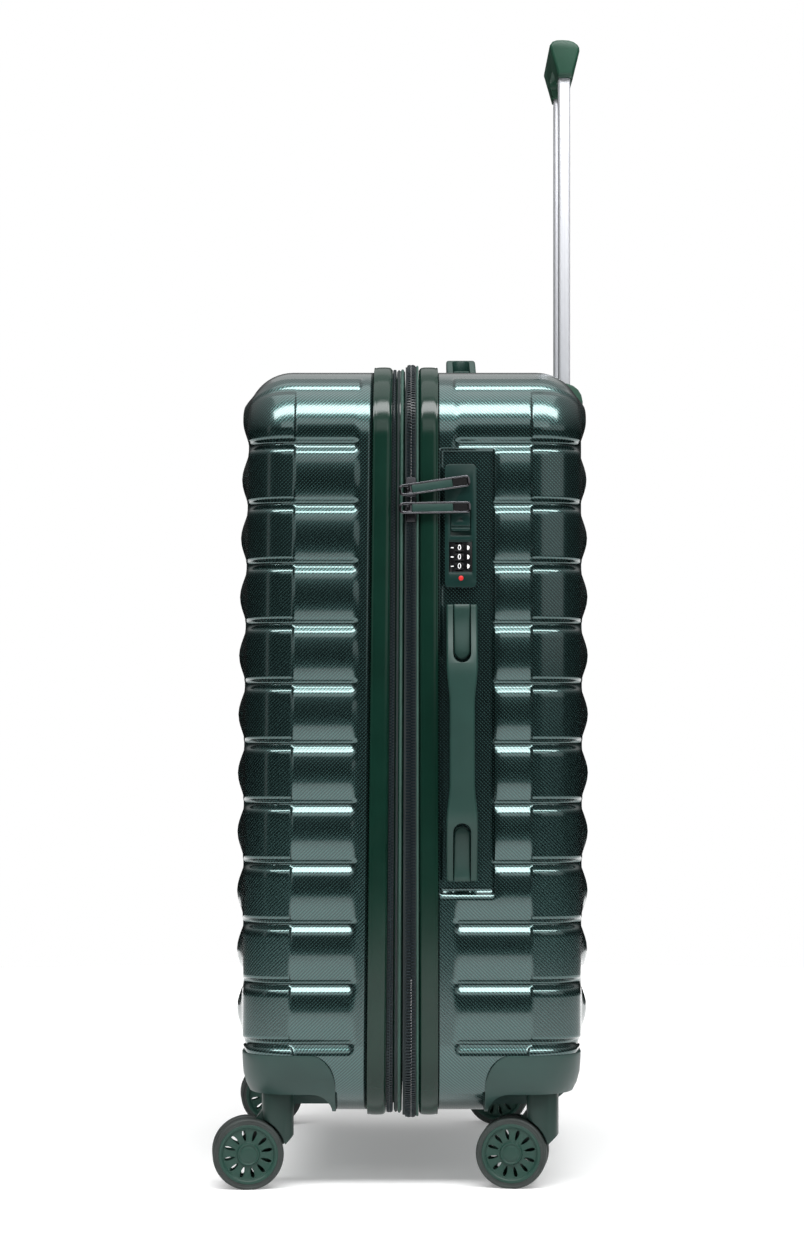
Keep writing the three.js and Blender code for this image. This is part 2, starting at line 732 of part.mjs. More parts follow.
function casterTyre() {
  const w = wheelWidth;
  return turnedAboutX([[tyreInner, 0.4], [wheelRadius - 1.4, 0.4], [wheelRadius, 1.8],
    [wheelRadius, w - 1.8], [wheelRadius - 1.4, w - 0.4], [tyreInner, w - 0.4],
    [tyreInner, 0.4]], wheelSides);
}

function addCaster(place, x, y, yaw) {
  const caster = new THREE.Group();
  caster.position.set(x, y, 0);
  caster.rotation.z = yaw;
  add(`caster_fork_${place}`, casterFork(), 'matte', caster);
  for (const [name, side] of [['right', 1], ['left', -1]]) {
    const wheel = new THREE.Group();
    wheel.position.set(side * wheelInner, -casterTrail, axleHeight);
    wheel.rotation.z = side > 0 ? 0 : Math.PI;
    add(`wheel_hub_${place}_${name}`, casterHub(), 'hub', wheel);
    add(`wheel_tyre_${place}_${name}`, casterTyre(), 'tyre', wheel);
    caster.add(wheel);
  }
  suitcase.add(caster);
}

// ---- assembly ----
add('rear_shell', rearShell(), 'shell');
add('front_shell', frontShell(), 'shell');
add('rear_rim_band', ring(bandSection(rearBand, -4, bandProud, 1.2)), 'band');
add('front_rim_band', leaned(ring(bandSection(frontBand, -4, bandProud, 1.2))), 'band');
add('main_zip_rear', ring(bandSection(rearZip, 0, zipProud, 1), false), 'zip');
add('main_zip_lid', leaned(ring(bandSection(lidZip, 0, zipProud, 1), false)), 'zip');
add('middle_frame', leaned(ring(bandSection(middleFrame, -5, frameProud, 1))), 'piping');
add('expander_zip_front', leaned(ring(bandSection(frontZip, 0, frameProud, 1))), 'zip');
add('expansion_gusset', leaned(ring([[-10.3, -31], [-8.3, -31], [-8.3, -16.4], [-5.5, -16.4],
  [-5.5, -11], [-10.3, -11]])), 'cloth');
add('hinge_tape', hingeTape(), 'cloth');
add('rear_lining', rearLining(), 'cloth');
add('divider_panel', dividerPanel(), 'cloth');
add('packing_straps', packingStraps(), 'cloth');

for (const [name, side] of [['right', 1], ['left', -1]]) {
  const mirror = (geometry) => (side > 0 ? geometry : weld(geometry.scale(-1, 1, 1)));
  add(`corner_cover_rear_${name}`, mirror(cornerCover(rearFace)), 'matte');
  const front = leaned(mirroredY(mirror(cornerCover(frontFace))));
  add(`corner_cover_front_${name}`, front, 'matte');
  const outer = tube(tubeWide + 3.6, tubeDeep + 3.6, 1.3, [96, bezelZ[0] - gap]);
  add(`outer_tube_${name}`, outer.translate(side * tubeX, tubeY, 0), 'silver');
  const inner = tube(tubeWide, tubeDeep, 1.2, [590, gripZ[0] + 15.5]);
  add(`inner_tube_${name}`, inner.translate(side * tubeX, tubeY, 0), 'silver');
  addCaster(`rear_${name}`, side * casterX, casterY, rearYaw);
  addCaster(`front_${name}`, side * casterX, leanedY(-casterY, coverPlate[0]), frontYaw);
}
add('trolley_foot', block([-58, 58], [126, 142], [82, 95.7]), 'matte');
add('trolley_bezel', trolleyBezel(), 'matte');
add('trolley_grip', trolleyGrip(), 'grip');
add('grip_button', gripButton(), 'matte');

add('lock_body', lockBody(), 'matte');
for (let i = 0; i < 3; i++) {
  const dial = add(`lock_dial_${i + 1}`, lockDial(), 'dial');
  const z = middleDialZ + (1 - i) * dialPitch;
  dial.position.set(lockFace - dialRadius - 0.2, handleCentreY - 2, z);
}
const button = add('lock_button', lockButton(), 'matte');
button.position.set(0, handleCentreY - 1, (buttonZ[0] + buttonZ[1]) / 2);

const pullerTilt = THREE.MathUtils.degToRad(6.5);
for (const [name, z, end, lift] of [['upper', 578.5, -1, 9], ['lower', 558, 1, 1.5]]) {
  const crownZ = [end * 3 - 2, end * 3 + 2];
  const slider = add(`${name}_zip_slider`, zipSlider(16, crownZ), 'gunmetal');
  slider.position.set(halfWidth + zipProud + gap, -2.3, z);
  const puller = new THREE.Group();
  puller.position.set(halfWidth + zipProud + 5.4, -9.4, z + end * 3);
  puller.rotation.set(THREE.MathUtils.degToRad(lift), 0, pullerTilt, 'ZYX');
  add(`${name}_zip_puller`, zipPuller(55), 'gunmetal', puller);
  suitcase.add(puller);
}

const sideHandle = new THREE.Group();
const sideMiddle = (sideHandleSpan[0] + sideHandleSpan[1]) / 2;
sideHandle.position.set(panelPlane, handleCentreY, sideMiddle);
addHandle(sideHandle, (sideHandleSpan[1] - sideHandleSpan[0]) / 2,
  ['side_handle', 'side_handle_anchor_upper', 'side_handle_anchor_lower']);

const topHandle = new THREE.Group();
topHandle.position.set(0, 41.3, caseTop);
topHandle.rotation.y = -Math.PI / 2;
addHandle(topHandle, topHandleHalf,
  ['top_handle', 'top_handle_anchor_left', 'top_handle_anchor_right']);

suitcase.updateMatrixWorld(true);
const extent = new THREE.Box3().setFromObject(suitcase, true);
const middle = extent.getCenter(new THREE.Vector3());
suitcase.position.set(-middle.x, -middle.y, -extent.min.z);

export default suitcase;
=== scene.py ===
"""Looks of a hard shell spinner suitcase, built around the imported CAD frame.

Sizes are millimetres in the case's own frame: X from the middle of the case towards the lock,
Y from the joint between the halves (lid half at -Y, trolley half at +Y) and Z from the floor.
"""
import json
import math

import bmesh
import bpy
import numpy as np
from mathutils import Matrix, Vector

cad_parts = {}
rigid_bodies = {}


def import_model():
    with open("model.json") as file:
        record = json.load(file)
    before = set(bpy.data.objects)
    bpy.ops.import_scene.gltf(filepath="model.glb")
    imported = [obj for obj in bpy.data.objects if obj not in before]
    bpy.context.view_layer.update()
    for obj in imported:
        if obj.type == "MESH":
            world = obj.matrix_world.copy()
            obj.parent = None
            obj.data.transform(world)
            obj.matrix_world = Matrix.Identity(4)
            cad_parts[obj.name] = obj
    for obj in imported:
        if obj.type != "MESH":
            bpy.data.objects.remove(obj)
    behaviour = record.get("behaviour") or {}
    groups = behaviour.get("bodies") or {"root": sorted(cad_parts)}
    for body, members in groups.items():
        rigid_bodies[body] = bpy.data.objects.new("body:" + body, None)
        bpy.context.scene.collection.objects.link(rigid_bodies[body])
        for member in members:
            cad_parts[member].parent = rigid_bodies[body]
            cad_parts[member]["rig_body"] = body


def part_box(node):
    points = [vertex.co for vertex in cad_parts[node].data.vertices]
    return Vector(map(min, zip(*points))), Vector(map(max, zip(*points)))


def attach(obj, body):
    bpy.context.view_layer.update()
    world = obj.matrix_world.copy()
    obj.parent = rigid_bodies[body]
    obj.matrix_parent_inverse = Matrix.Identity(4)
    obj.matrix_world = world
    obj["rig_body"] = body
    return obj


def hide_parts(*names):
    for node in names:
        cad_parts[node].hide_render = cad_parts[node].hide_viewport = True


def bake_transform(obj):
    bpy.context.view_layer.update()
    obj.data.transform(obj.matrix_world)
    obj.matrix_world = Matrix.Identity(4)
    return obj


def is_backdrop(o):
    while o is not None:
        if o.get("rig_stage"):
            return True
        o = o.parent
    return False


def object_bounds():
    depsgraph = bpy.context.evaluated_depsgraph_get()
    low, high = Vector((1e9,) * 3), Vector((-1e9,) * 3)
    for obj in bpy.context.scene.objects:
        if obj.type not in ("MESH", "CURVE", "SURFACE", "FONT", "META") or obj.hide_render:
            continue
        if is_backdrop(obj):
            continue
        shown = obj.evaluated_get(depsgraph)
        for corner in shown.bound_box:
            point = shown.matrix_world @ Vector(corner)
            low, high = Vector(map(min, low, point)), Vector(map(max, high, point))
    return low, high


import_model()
cad_bounds = [list(corner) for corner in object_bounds()]

# ---- the case frame, found from the rim band round the trolley half ----
MM = 0.001
band_low, band_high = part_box("rear_rim_band")
BAND_START = 4.3
ORIGIN = Vector(((band_low.x + band_high.x) / 2, band_low.y - BAND_START * MM, 0.0))


def spot(x, y, z):
    """A point of the case frame, in metres in the row frame."""
    return Vector((x * MM, y * MM, z * MM)) + ORIGIN


# ---- driving dimensions, the same as the CAD's ----
HALF_WIDTH = 225.0
CASE_BOTTOM = 61.5
CASE_TOP = 680.5
MIDDLE = (CASE_TOP + CASE_BOTTOM) / 2
OUTLINE_RADIUS = 60.0
EDGE_RADIUS = 38.0
REAR_FACE = 141.0
FRONT_FACE = 139.0
GROOVES = 11
TOP_GROOVE = 615.5
PITCH = 49.3
COVER_TOP = 112.7
LEAN_KNOTS = [(-17.2, 6.0), (-13.9, 2.9), (-7.1, 2.9), (-2.4, 0.0)]
BAND_PROUD = 4.5
HINGE_LOW, HINGE_HIGH = 135.0, 607.0
REAR_BAND = (4.3, 20.3)
FRONT_BAND = (-33.0, -17.5)
PANEL_X = 220.7
PANEL_Y = (22.4, 65.0)
PANEL_Z = (246.4, 609.6)
CHANNEL_HALF = 62.0
CHANNEL_FACE = 148.0
SHELL_WALL = 2.2
CLOTH = 0.9
COVER_PROUD = 2.8


def lean(y, z):
    """How far the lid half hangs open towards the bottom."""
    share = (CASE_TOP - z) / (CASE_TOP - CASE_BOTTOM)
    return y - np.interp(y, [k[0] for k in LEAN_KNOTS], [k[1] for k in LEAN_KNOTS]) * share


def smooth(low, high, value):
    t = np.clip((value - low) / (high - low), 0.0, 1.0)
    return t * t * (3 - 2 * t)


# ---- materials ----
TWILL = 0.21
COAT_ROUGHNESS = 0.12
PLASTIC_SPECULAR = 0.33


def put(node, **sockets):
    """Sets a node's sockets, each named with _ for a space."""
    for key, value in sockets.items():
        node.inputs[key.replace("_", " ")].default_value = value


class Shader:
    """A small helper that builds one procedural material."""

    def __init__(self, name, base, roughness, metallic=0.0, coat=0.0, sheen=0.0):
        self.material = bpy.data.materials.new(name)
        self.material.use_nodes = True
        self.tree = self.material.node_tree
        self.bsdf = self.tree.nodes["Principled BSDF"]
        self.base = base
        self.last_bump = None
        self.places = self.node("ShaderNodeTexCoord").outputs
        put(self.bsdf, Base_Color=(*base, 1), Roughness=roughness, Metallic=metallic,
            Coat_Weight=coat, Coat_Roughness=COAT_ROUGHNESS, Sheen_Weight=sheen)

    def node(self, kind, **values):
        made = self.tree.nodes.new(kind)
        for key, value in values.items():
            setattr(made, key, value)
        return made

    def link(self, output, target):
        self.tree.links.new(output, target)

    def noise(self, scale, detail, places=None):
        made = self.node("ShaderNodeTexNoise")
        put(made, Scale=scale, Detail=detail)
        self.link(places or self.places["Object"], made.inputs["Vector"])
        return made.outputs["Fac"]

    def mapped(self, space, **sockets):
        mapping = self.node("ShaderNodeMapping")
        put(mapping, **sockets)
        self.link(self.places[space], mapping.inputs["Vector"])
        return mapping.outputs["Vector"]

    def wave(self, scale, direction, turn=0.0, space="Object"):
        made = self.node("ShaderNodeTexWave", bands_direction=direction)
        put(made, Scale=scale)
        self.link(self.mapped(space, Rotation=(0, 0, turn)), made.inputs["Vector"])
        return made.outputs["Fac"]

    def math(self, operation, a, b):
        made = self.node("ShaderNodeMath", operation=operation)
        for socket, value in zip(made.inputs, (a, b)):
            if isinstance(value, (int, float)):
                socket.default_value = value
            else:
                self.link(value, socket)
        return made.outputs[0]

    def mixed(self, a, b, share_a, share_b):
        return self.math("ADD", self.math("MULTIPLY", a, share_a),
                         self.math("MULTIPLY", b, share_b))

    def tint(self, factor, low, high):
        """Varies the base colour between two multiples of it."""
        ramp = self.node("ShaderNodeValToRGB")
        for stop, position, share in zip(ramp.color_ramp.elements, (0.3, 0.7), (low, high)):
            stop.position = position
            stop.color = (*[c * share for c in self.base], 1)
        self.link(factor, ramp.inputs["Fac"])
        self.link(ramp.outputs["Color"], self.bsdf.inputs["Base Color"])

    def spread(self, factor, target, **sockets):
        """Spreads a factor over a range and feeds it to a socket of the surface."""
        made = self.node("ShaderNodeMapRange")
        put(made, **sockets)
        self.link(factor, made.inputs["Value"])
        self.link(made.outputs["Result"], self.bsdf.inputs[target])

    def roughen(self, factor, low, high):
        self.spread(factor, "Roughness", To_Min=low, To_Max=high)

    def bump(self, height, distance, strength):
        made = self.node("ShaderNodeBump")
        put(made, Distance=distance, Strength=strength)
        self.link(height, made.inputs["Height"])
        if self.last_bump:
            self.link(self.last_bump, made.inputs["Normal"])
        self.last_bump = made.outputs["Normal"]
        self.link(self.last_bump, self.bsdf.inputs["Normal"])


def shell_material():
    """Dark green metallic polycarbonate with a fine diagonal twill under a clear skin."""
    s = Shader("shell_green", (0.031, 0.069, 0.066), 0.25, metallic=0.88, coat=1.0)
    twill = s.mixed(s.wave(TWILL, "DIAGONAL", space="UV"),
                    s.wave(TWILL, "DIAGONAL", math.pi / 2, "UV"), 0.85, 0.15)
    s.bump(twill, 0.0001, 0.3)
    s.tint(s.mixed(twill, s.noise(7, 3), 0.7, 0.3), 0.58, 1.42)
    s.roughen(twill, 0.18, 0.28)
    return s.material


def plastic(name, base, roughness, grain=1400.0, depth=0.00006):
    """Moulded plastic: slightly uneven tone and a fine spark-eroded grain."""
    s = Shader(name, base, roughness)
    s.tint(s.noise(25, 3), 0.88, 1.1)
    s.roughen(s.noise(40, 4), roughness - 0.05, roughness + 0.06)
    put(s.bsdf, Specular_IOR_Level=PLASTIC_SPECULAR)
    s.bump(s.noise(grain, 2), depth, 0.35)
    return s.material


def cloth(name, base, thread, roughness=0.85, sheen=0.25):
    """A woven cloth: crossed thread waves, thread in millimetres."""
    s = Shader(name, base, roughness, sheen=sheen)
    scale = 2 * math.pi / 20 / (2 * thread) * 1000
    crossed = s.math("MULTIPLY", s.wave(scale, "X"), s.wave(scale, "Z"))
    s.bump(s.math("ADD", crossed, s.math("MULTIPLY", s.wave(scale, "Y"), 0.5)), 0.0003, 0.5)
    s.tint(s.noise(30, 4), 0.8, 1.2)
    return s.material


def metal(name, base, roughness):
    s = Shader(name, base, roughness, metallic=1.0)
    s.roughen(s.noise(80, 4), roughness - 0.05, roughness + 0.1)
    s.tint(s.noise(50, 3), 0.9, 1.08)
    return s.material


def anodised():
    """Satin tube with fine streaks along it."""
    roughness = 0.42
    s = Shader("anodised_tube", (0.53, 0.54, 0.57), roughness, metallic=0.35)
    grain = s.noise(1.0, 5, s.mapped("Object", Scale=(900, 900, 6)))
    s.roughen(grain, roughness - 0.08, roughness + 0.12)
    s.bump(grain, 0.00005, 0.3)
    s.tint(grain, 0.94, 1.04)
    return s.material


def rubber():
    s = Shader("tyre_rubber", (0.014, 0.02, 0.018), 0.6)
    s.tint(s.noise(70, 5), 0.75, 1.35)
    s.bump(s.noise(900, 3), 0.0001, 0.5)
    return s.material


# each look with the CAD slot that it stands for and its material
LOOKS = {
    "shell": ("shell", shell_material()),
    "band": ("rim_band",
             plastic("rim_gloss_green", (0.0035, 0.019, 0.0125), 0.15, 500, 0.00002)),
    "zip": ("zip_tape", cloth("zip_tape", (0.006, 0.012, 0.013), 0.35, sheen=0.02)),
    "teeth": ("zip_tape", plastic("zip_teeth", (0.01, 0.017, 0.02), 0.24)),
    "piping": ("piping", cloth("piping_green", (0.016, 0.058, 0.043), 0.3, 0.6, 0.03)),
    "handle": ("handle_plastic", plastic("handle_green", (0.01, 0.036, 0.029), 0.4, 1500)),
    "trim": ("trim_plastic", plastic("trim_green", (0.019, 0.046, 0.04), 0.4, 1600, 0.00005)),
    "lock": ("lock_plastic", plastic("lock_green", (0.007, 0.024, 0.021), 0.2, 1800, 0.00004)),
    "grip": ("grip", plastic("grip_green", (0.013, 0.052, 0.032), 0.4, 1300, 0.00007)),
    "hub": ("hub", plastic("hub_green", (0.013, 0.044, 0.033), 0.42, 1500, 0.00005)),
    "tyre": ("tyre", rubber()),
    "silver": ("trolley_tube", anodised()),
    "gunmetal": ("zip_metal", metal("gunmetal", (0.11, 0.112, 0.12), 0.14)),
    "slider": ("zip_metal", metal("slider_black", (0.045, 0.046, 0.05), 0.2)),
    "black": ("dial", plastic("black_plastic", (0.003, 0.003, 0.0035), 0.22)),
    "white": ("dial", plastic("white_print", (0.75, 0.75, 0.75), 0.5)),
    "red": ("lock_plastic", plastic("red_dot", (0.55, 0.02, 0.02), 0.35)),
    "lining": ("lining", cloth("lining_cloth", (0.05, 0.056, 0.06), 0.5)),
    "gusset": ("gusset_cloth", cloth("gusset_cloth", (0.012, 0.022, 0.022), 0.45, sheen=0.05)),
    "webbing": ("webbing", cloth("webbing", (0.02, 0.022, 0.024), 0.8)),
    "fork": ("caster_plastic", plastic("caster_green", (0.009, 0.026, 0.021), 0.4, 1500, 0.00005)),
}


# ---- making pieces ----
def piece(name, points, faces, look, body, nodes=(), smooth_angle=40, uvs=None):
    """A mesh piece from points in the case frame, which rides on a body."""
    mesh = bpy.data.meshes.new(name)
    points = np.asarray(points, float) * MM + np.array(ORIGIN)
    mesh.from_pydata([tuple(p) for p in points], [], faces)
    if uvs is not None:
        layer = mesh.uv_layers.new(name="twill")
        for loop in mesh.loops:
            layer.data[loop.index].uv = uvs[loop.vertex_index]
    return finish_piece(name, mesh, look, body, nodes, smooth_angle)


def placed(name, data):
    """A new object in the scene."""
    obj = bpy.data.objects.new(name, data)
    bpy.context.scene.collection.objects.link(obj)
    return obj


def finish_piece(name, mesh, look, body, nodes=(), smooth_angle=40):
    obj = placed(name, mesh)
    outward(mesh)
    slot, material = LOOKS[look]
    mesh.materials.append(material)
    mesh.shade_smooth()
    if smooth_angle:
        mesh.set_sharp_from_angle(angle=math.radians(smooth_angle))
    if body:
        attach(obj, body)
    if nodes:
        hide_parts(*nodes)
    return obj


def outward(mesh):
    bm = bmesh.new()
    bm.from_mesh(mesh)
    bmesh.ops.recalc_face_normals(bm, faces=bm.faces)
    bm.to_mesh(mesh)
    bm.free()


def lattice(loops, n, base=0, around=False, open_loops=False, caps=False):
    """Quads between loops of n points; around joins the last loop to the first one."""
    faces = []
    for k in range(loops if around else loops - 1):
        here, there = base + k * n, base + (k + 1) % loops * n
        for m in range(n - 1 if open_loops else n):
            j = (m + 1) % n
            faces.append((here + m, here + j, there + j, there + m))
    if caps:
        last = base + (loops - 1) * n
        faces += [tuple(range(base, base + n))[::-1], tuple(range(last, last + n))]
    return faces


def modified(obj, kind, **values):
    """Adds a modifier and applies it at once."""
    modifier = obj.modifiers.new(kind.title(), kind)
    for key, value in values.items():
        setattr(modifier, key, value)
    graph = bpy.context.evaluated_depsgraph_get()
    result = bpy.data.meshes.new_from_object(obj.evaluated_get(graph))
    obj.modifiers.clear()
    old = obj.data
    obj.data = result
    bpy.data.meshes.remove(old)


# ---- ribbed half shells ----
def groove_distance(z):
    index = np.clip(np.round((TOP_GROOVE - z) / PITCH), 0, GROOVES - 1)
    return z - (TOP_GROOVE - index * PITCH)


RIB_CROWN = 3.2
RIB_SUNK = 2.0
PAD_START = (95.4, 98.2)
PAD_HEIGHT = 3.9
TOP_RIB_EXTRA = 1.3
TOP_PAD_HEIGHT = 2.0
PILLOW_HEIGHT = 6.0
FACE_CROWN = 1.7
CHANNEL_SUNK = 0.6


def relief(y, z, turn, across, ny, rib_start, sign, lock_side):
    """Height of the moulded surface over the plain tray, all arguments arrays.

    turn is 0 on a wall and 1 on the face, across is the X place, ny is how much of the outline's
    normal points up or down, and sign tells the trolley half from the lid half."""
    g = groove_distance(z)
    lowest = TOP_GROOVE - (GROOVES - 1) * PITCH
    ribbed = smooth(lowest - 26, lowest - 8, z) * smooth(662, 653, z)
    chamfer = 1.5 * np.clip((g + 9.4) / 3.0, 0, 1) ** 2 + np.clip(g + 6.4, 0, 3.6)
    groove = 0.4 * chamfer * (1 - smooth(1.5, 3.4, g))
    between = np.clip(np.abs(g) / (PITCH / 2), 0, 1)
    barrel = RIB_CROWN * (1 - (1 - between) ** 2)
    pad = np.where(g < 0, smooth(0.6, 5.8, -g), smooth(1.4, 4.6, g))
    pad = pad * (PAD_HEIGHT + TOP_RIB_EXTRA * smooth(5, 12, z - TOP_GROOVE))
    step = smooth(*PAD_START, y)
    on_side = -groove + ribbed * (barrel * (1 - step) + pad * step - RIB_SUNK)
    on_side = on_side * smooth(rib_start, rib_start + 7, y) * (1 - np.abs(ny) ** 2 * 0.8)
    if sign > 0:
        inside = (smooth(PANEL_Y[1] + 1.8, PANEL_Y[1] - 0.2, y) *
                  smooth(PANEL_Z[0] - 1.8, PANEL_Z[0] + 0.2, z) *
                  smooth(PANEL_Z[1] + 1.8, PANEL_Z[1] - 0.2, z) *
                  smooth(PANEL_Y[0] - 1.0, PANEL_Y[0] + 0.5, y)) * lock_side
        on_side = on_side * (1 - inside) + (PANEL_X - HALF_WIDTH) * inside
    crown = FACE_CROWN * np.clip(1 - ((z - MIDDLE) / (MIDDLE - COVER_TOP)) ** 2, 0, 1)
    above = (z > lowest - 4)
    pillow = PILLOW_HEIGHT * (0.5 - 0.5 * np.cos(np.pi * between)) ** 0.8
    pillow = pillow * above * smooth(668, 650, z) * smooth(191, 166, np.abs(across))
    on_face = -RIB_SUNK * above * ribbed + pillow - 0.22 * groove + crown
    blend = smooth(0.86, 1.0, turn)
    rise = on_side * (1 - blend) + on_face * blend
    arc_place = np.degrees(np.arcsin(np.clip(ny, 0, 1)))
    top_pad = TOP_PAD_HEIGHT * smooth(41, 46, arc_place) * smooth(60, 56, arc_place)
    rise = rise + top_pad * smooth(rib_start, rib_start + 3, y) * smooth(0.97, 0.55, turn)
    if sign > 0:
        channel = smooth(CHANNEL_HALF + 3, CHANNEL_HALF, np.abs(across)) * smooth(70, 78, z)
        channel = channel * smooth(0.9, 1.0, turn)
        rise = rise * (1 - channel) + (CHANNEL_FACE - REAR_FACE - CHANNEL_SUNK) * channel
    return rise


GROOVE_ROWS = [-19.5, -15, -11.5, -9, -7.4, -6.6, -6, -5.4, -4.8, -4.2, -3.6, -2.9, -1.5, 0, 1.4,
               2.6, 3.8, 5, 6.2, 7.4, 8.6, 10, 12, 15, 19]


def row_heights(low, high, extra):
    rows = {round(z, 3) for z in extra}
    for i in range(GROOVES):
        z = TOP_GROOVE - i * PITCH
        rows.update(round(z + offset, 3) for offset in GROOVE_ROWS)
        rows.add(round(z + PITCH / 2, 3))
    rows = sorted(z for z in rows if low + 0.4 < z < high - 0.4)
    spaced = [low]
    for z in rows:
        if z - spaced[-1] > 0.35:
            spaced.append(z)
    return spaced + [high]


def foot_depth(z):
    """How far the face is set back low down, behind the corner covers."""
    return 6.0 * np.clip((126 - z) / 20, 0, 1)


def tray(inset, face, rim, rib_start, sign, rows_extra=(), plain=False):
    """Points, faces and texture places of a half shell's surface, open towards the other half.

    A plain tray has no relief and few points."""
    width = HALF_WIDTH - inset
    low, high = CASE_BOTTOM + inset, CASE_TOP - inset
    radius, edge = OUTLINE_RADIUS - inset, EDGE_RADIUS - inset
    corner_steps = 5 if plain else 24
    straight = (low + radius, high - radius)
    inner = width - radius

    side = [(inner, straight[0], -45 + 45 * i / corner_steps) for i in range(corner_steps)]
    heights = np.linspace(*straight, 8) if plain else row_heights(*straight, rows_extra)
    side += [(inner, z, 0) for z in heights]
    side += [(inner, straight[1], 45 * i / corner_steps) for i in range(1, corner_steps + 1)]
    spread = np.linspace(inner, -inner, 8 if plain else 26)[1:-1]
    marks = [] if plain else [73.5, 66, 64.2, 62.6, 61, 58]
    columns = sorted(set(np.round(list(spread) + marks + [-m for m in marks], 3)), reverse=True)
    top = [(inner, straight[1], 45 + 45 * i / corner_steps) for i in range(corner_steps + 1)]
    top += [(x, straight[1], 90) for x in columns]
    top += [(-inner, straight[1], 90 + 45 * i / corner_steps) for i in range(corner_steps + 1)]

    left = [(-x, z, 180 - turn) for x, z, turn in side]
    bottom = [(x, low + high - z, -turn) for x, z, turn in top]
    loop = side[:-1] + top[:-1] + left[::-1][:-1] + bottom[::-1][:-1]
    station = np.array(loop, float)
    angle = np.radians(station[:, 2])
    nx, nz = np.cos(angle), np.sin(angle)

    ys = [rim, rim + 4, rib_start - 3, rib_start]
    ys += [rib_start + d for d in (1, 2, 3, 4, 5, 6, 7, 9)]
    ys += [PANEL_Y[0] - 1, PANEL_Y[0] + 0.5] if sign > 0 else []
    ys += [PANEL_Y[1] + d for d in (-2, -0.3, 0.5, 1.2, 2.0)] + [56, 75, 84, 91]
    ys += [94.3, 95.2, 96.1, 97, 97.9, 98.8]
    ys = [rim, 60] if plain else sorted(set(y for y in ys if rim <= y < face - edge - 0.5))
    steps = [(y, 0.0, 0.0) for y in ys]
    turns = [*np.linspace(0, 60, 10), 65, 69, 73, 77, 80, 83, 86, 88, 90]
    if plain:
        turns = np.linspace(0, 90, 9)
    for t in turns:
        a = math.radians(t)
        steps.append((face - edge + edge * math.sin(a), edge * (1 - math.cos(a)), a))

    ringed = np.cumsum(np.r_[0, np.hypot(
        np.diff(station[:, 0] + nx * radius), np.diff(station[:, 1] + nz * radius))])
    points, uvs, run, before = [], [], 0.0, None
    for y, shrink, a in steps:
        base = radius - shrink
        x = station[:, 0] + nx * base
        z = station[:, 1] + nz * base
        rise = np.zeros(len(x)) if plain else relief(
            np.full(len(x), y), z, np.full(len(x), math.sin(a)), x, nz, rib_start, sign,
            (x > 0).astype(float))
        out = base + rise * math.cos(a)
        foot = 0 if plain else foot_depth(z) * float(smooth(60, face - edge, y))
        points.append(np.stack([station[:, 0] + nx * out, y + rise * math.sin(a) - foot,
                                station[:, 1] + nz * out], 1))
        if before is not None:
            run += math.hypot(y - before[0], shrink - before[1])
        before = (y, shrink)
        uvs.append(np.stack([np.full(len(x), run), ringed[:len(x)]], 1))
    count = len(loop)
    grid = np.concatenate(points)
    texture = np.concatenate(uvs)
    faces = lattice(len(steps), count)

    # the face fills the last loop with a grid that joins opposite sides
    rows, cols = len(side) - 1, len(top) - 1
    base = radius - edge
    start = (len(steps) - 1) * count
    ring_index = {}
    for i in range(rows + 1):
        ring_index[(i, 0)] = start + i % count
        ring_index[(i, cols)] = start + (rows + cols + (rows - i)) % count
    for j in range(cols + 1):
        ring_index[(rows, j)] = start + rows + j
        ring_index[(0, j)] = start + (2 * rows + cols + (cols - j)) % count
    extra, extra_uv = [], []
    side_flat, top_flat = (
        np.array([(x + math.cos(math.radians(turn)) * base,
                   z + math.sin(math.radians(turn)) * base) for x, z, turn in line])
        for line in (side, top))
    corner = side_flat[rows]
    for i in range(1, rows):
        near_end = max(0, 1 - (rows - i) / corner_steps) - max(0, 1 - i / corner_steps)
        for j in range(1, cols):
            near_edge = max(0, 1 - j / corner_steps) - max(0, 1 - (cols - j) / corner_steps)
            x = top_flat[j][0] + near_edge * (side_flat[i][0] - corner[0])
            z = side_flat[i][1] + near_end * (top_flat[j][1] - corner[1])
            ring_index[(i, j)] = len(grid) + len(extra)
            extra.append((x, face, z))
            extra_uv.append((run + inner - x, z))
    extra = np.array(extra)
    if not plain:
        ones = np.ones(len(extra))
        extra[:, 1] += relief(ones * face, extra[:, 2], ones, extra[:, 0], ones * 0, rib_start,
                              sign, ones) - foot_depth(extra[:, 2])
    for i in range(rows):
        for j in range(cols):
            faces.append((ring_index[(i, j)], ring_index[(i + 1, j)],
                          ring_index[(i + 1, j + 1)], ring_index[(i, j + 1)]))
    grid = np.concatenate([grid, extra])
    texture = np.concatenate([texture, np.array(extra_uv)])
    if sign < 0:
        grid[:, 1] *= -1
        grid[:, 1] = lean(grid[:, 1], grid[:, 2])
    return grid, faces, texture


def cut_away(obj, planes, inside):
    """Cuts a mesh along planes and deletes the faces whose middle the test calls inside."""
    bm = bmesh.new()
    bm.from_mesh(obj.data)
    for point, normal in planes:
        bmesh.ops.bisect_plane(bm, geom=bm.verts[:] + bm.edges[:] + bm.faces[:], dist=1e-6,
                               plane_co=spot(*point), plane_no=normal)
    gone = [f for f in bm.faces
            if inside((Vector(f.calc_center_median()) - ORIGIN) / MM)]
    bmesh.ops.delete(bm, geom=gone, context="FACES")
    bm.to_mesh(obj.data)
    bm.free()


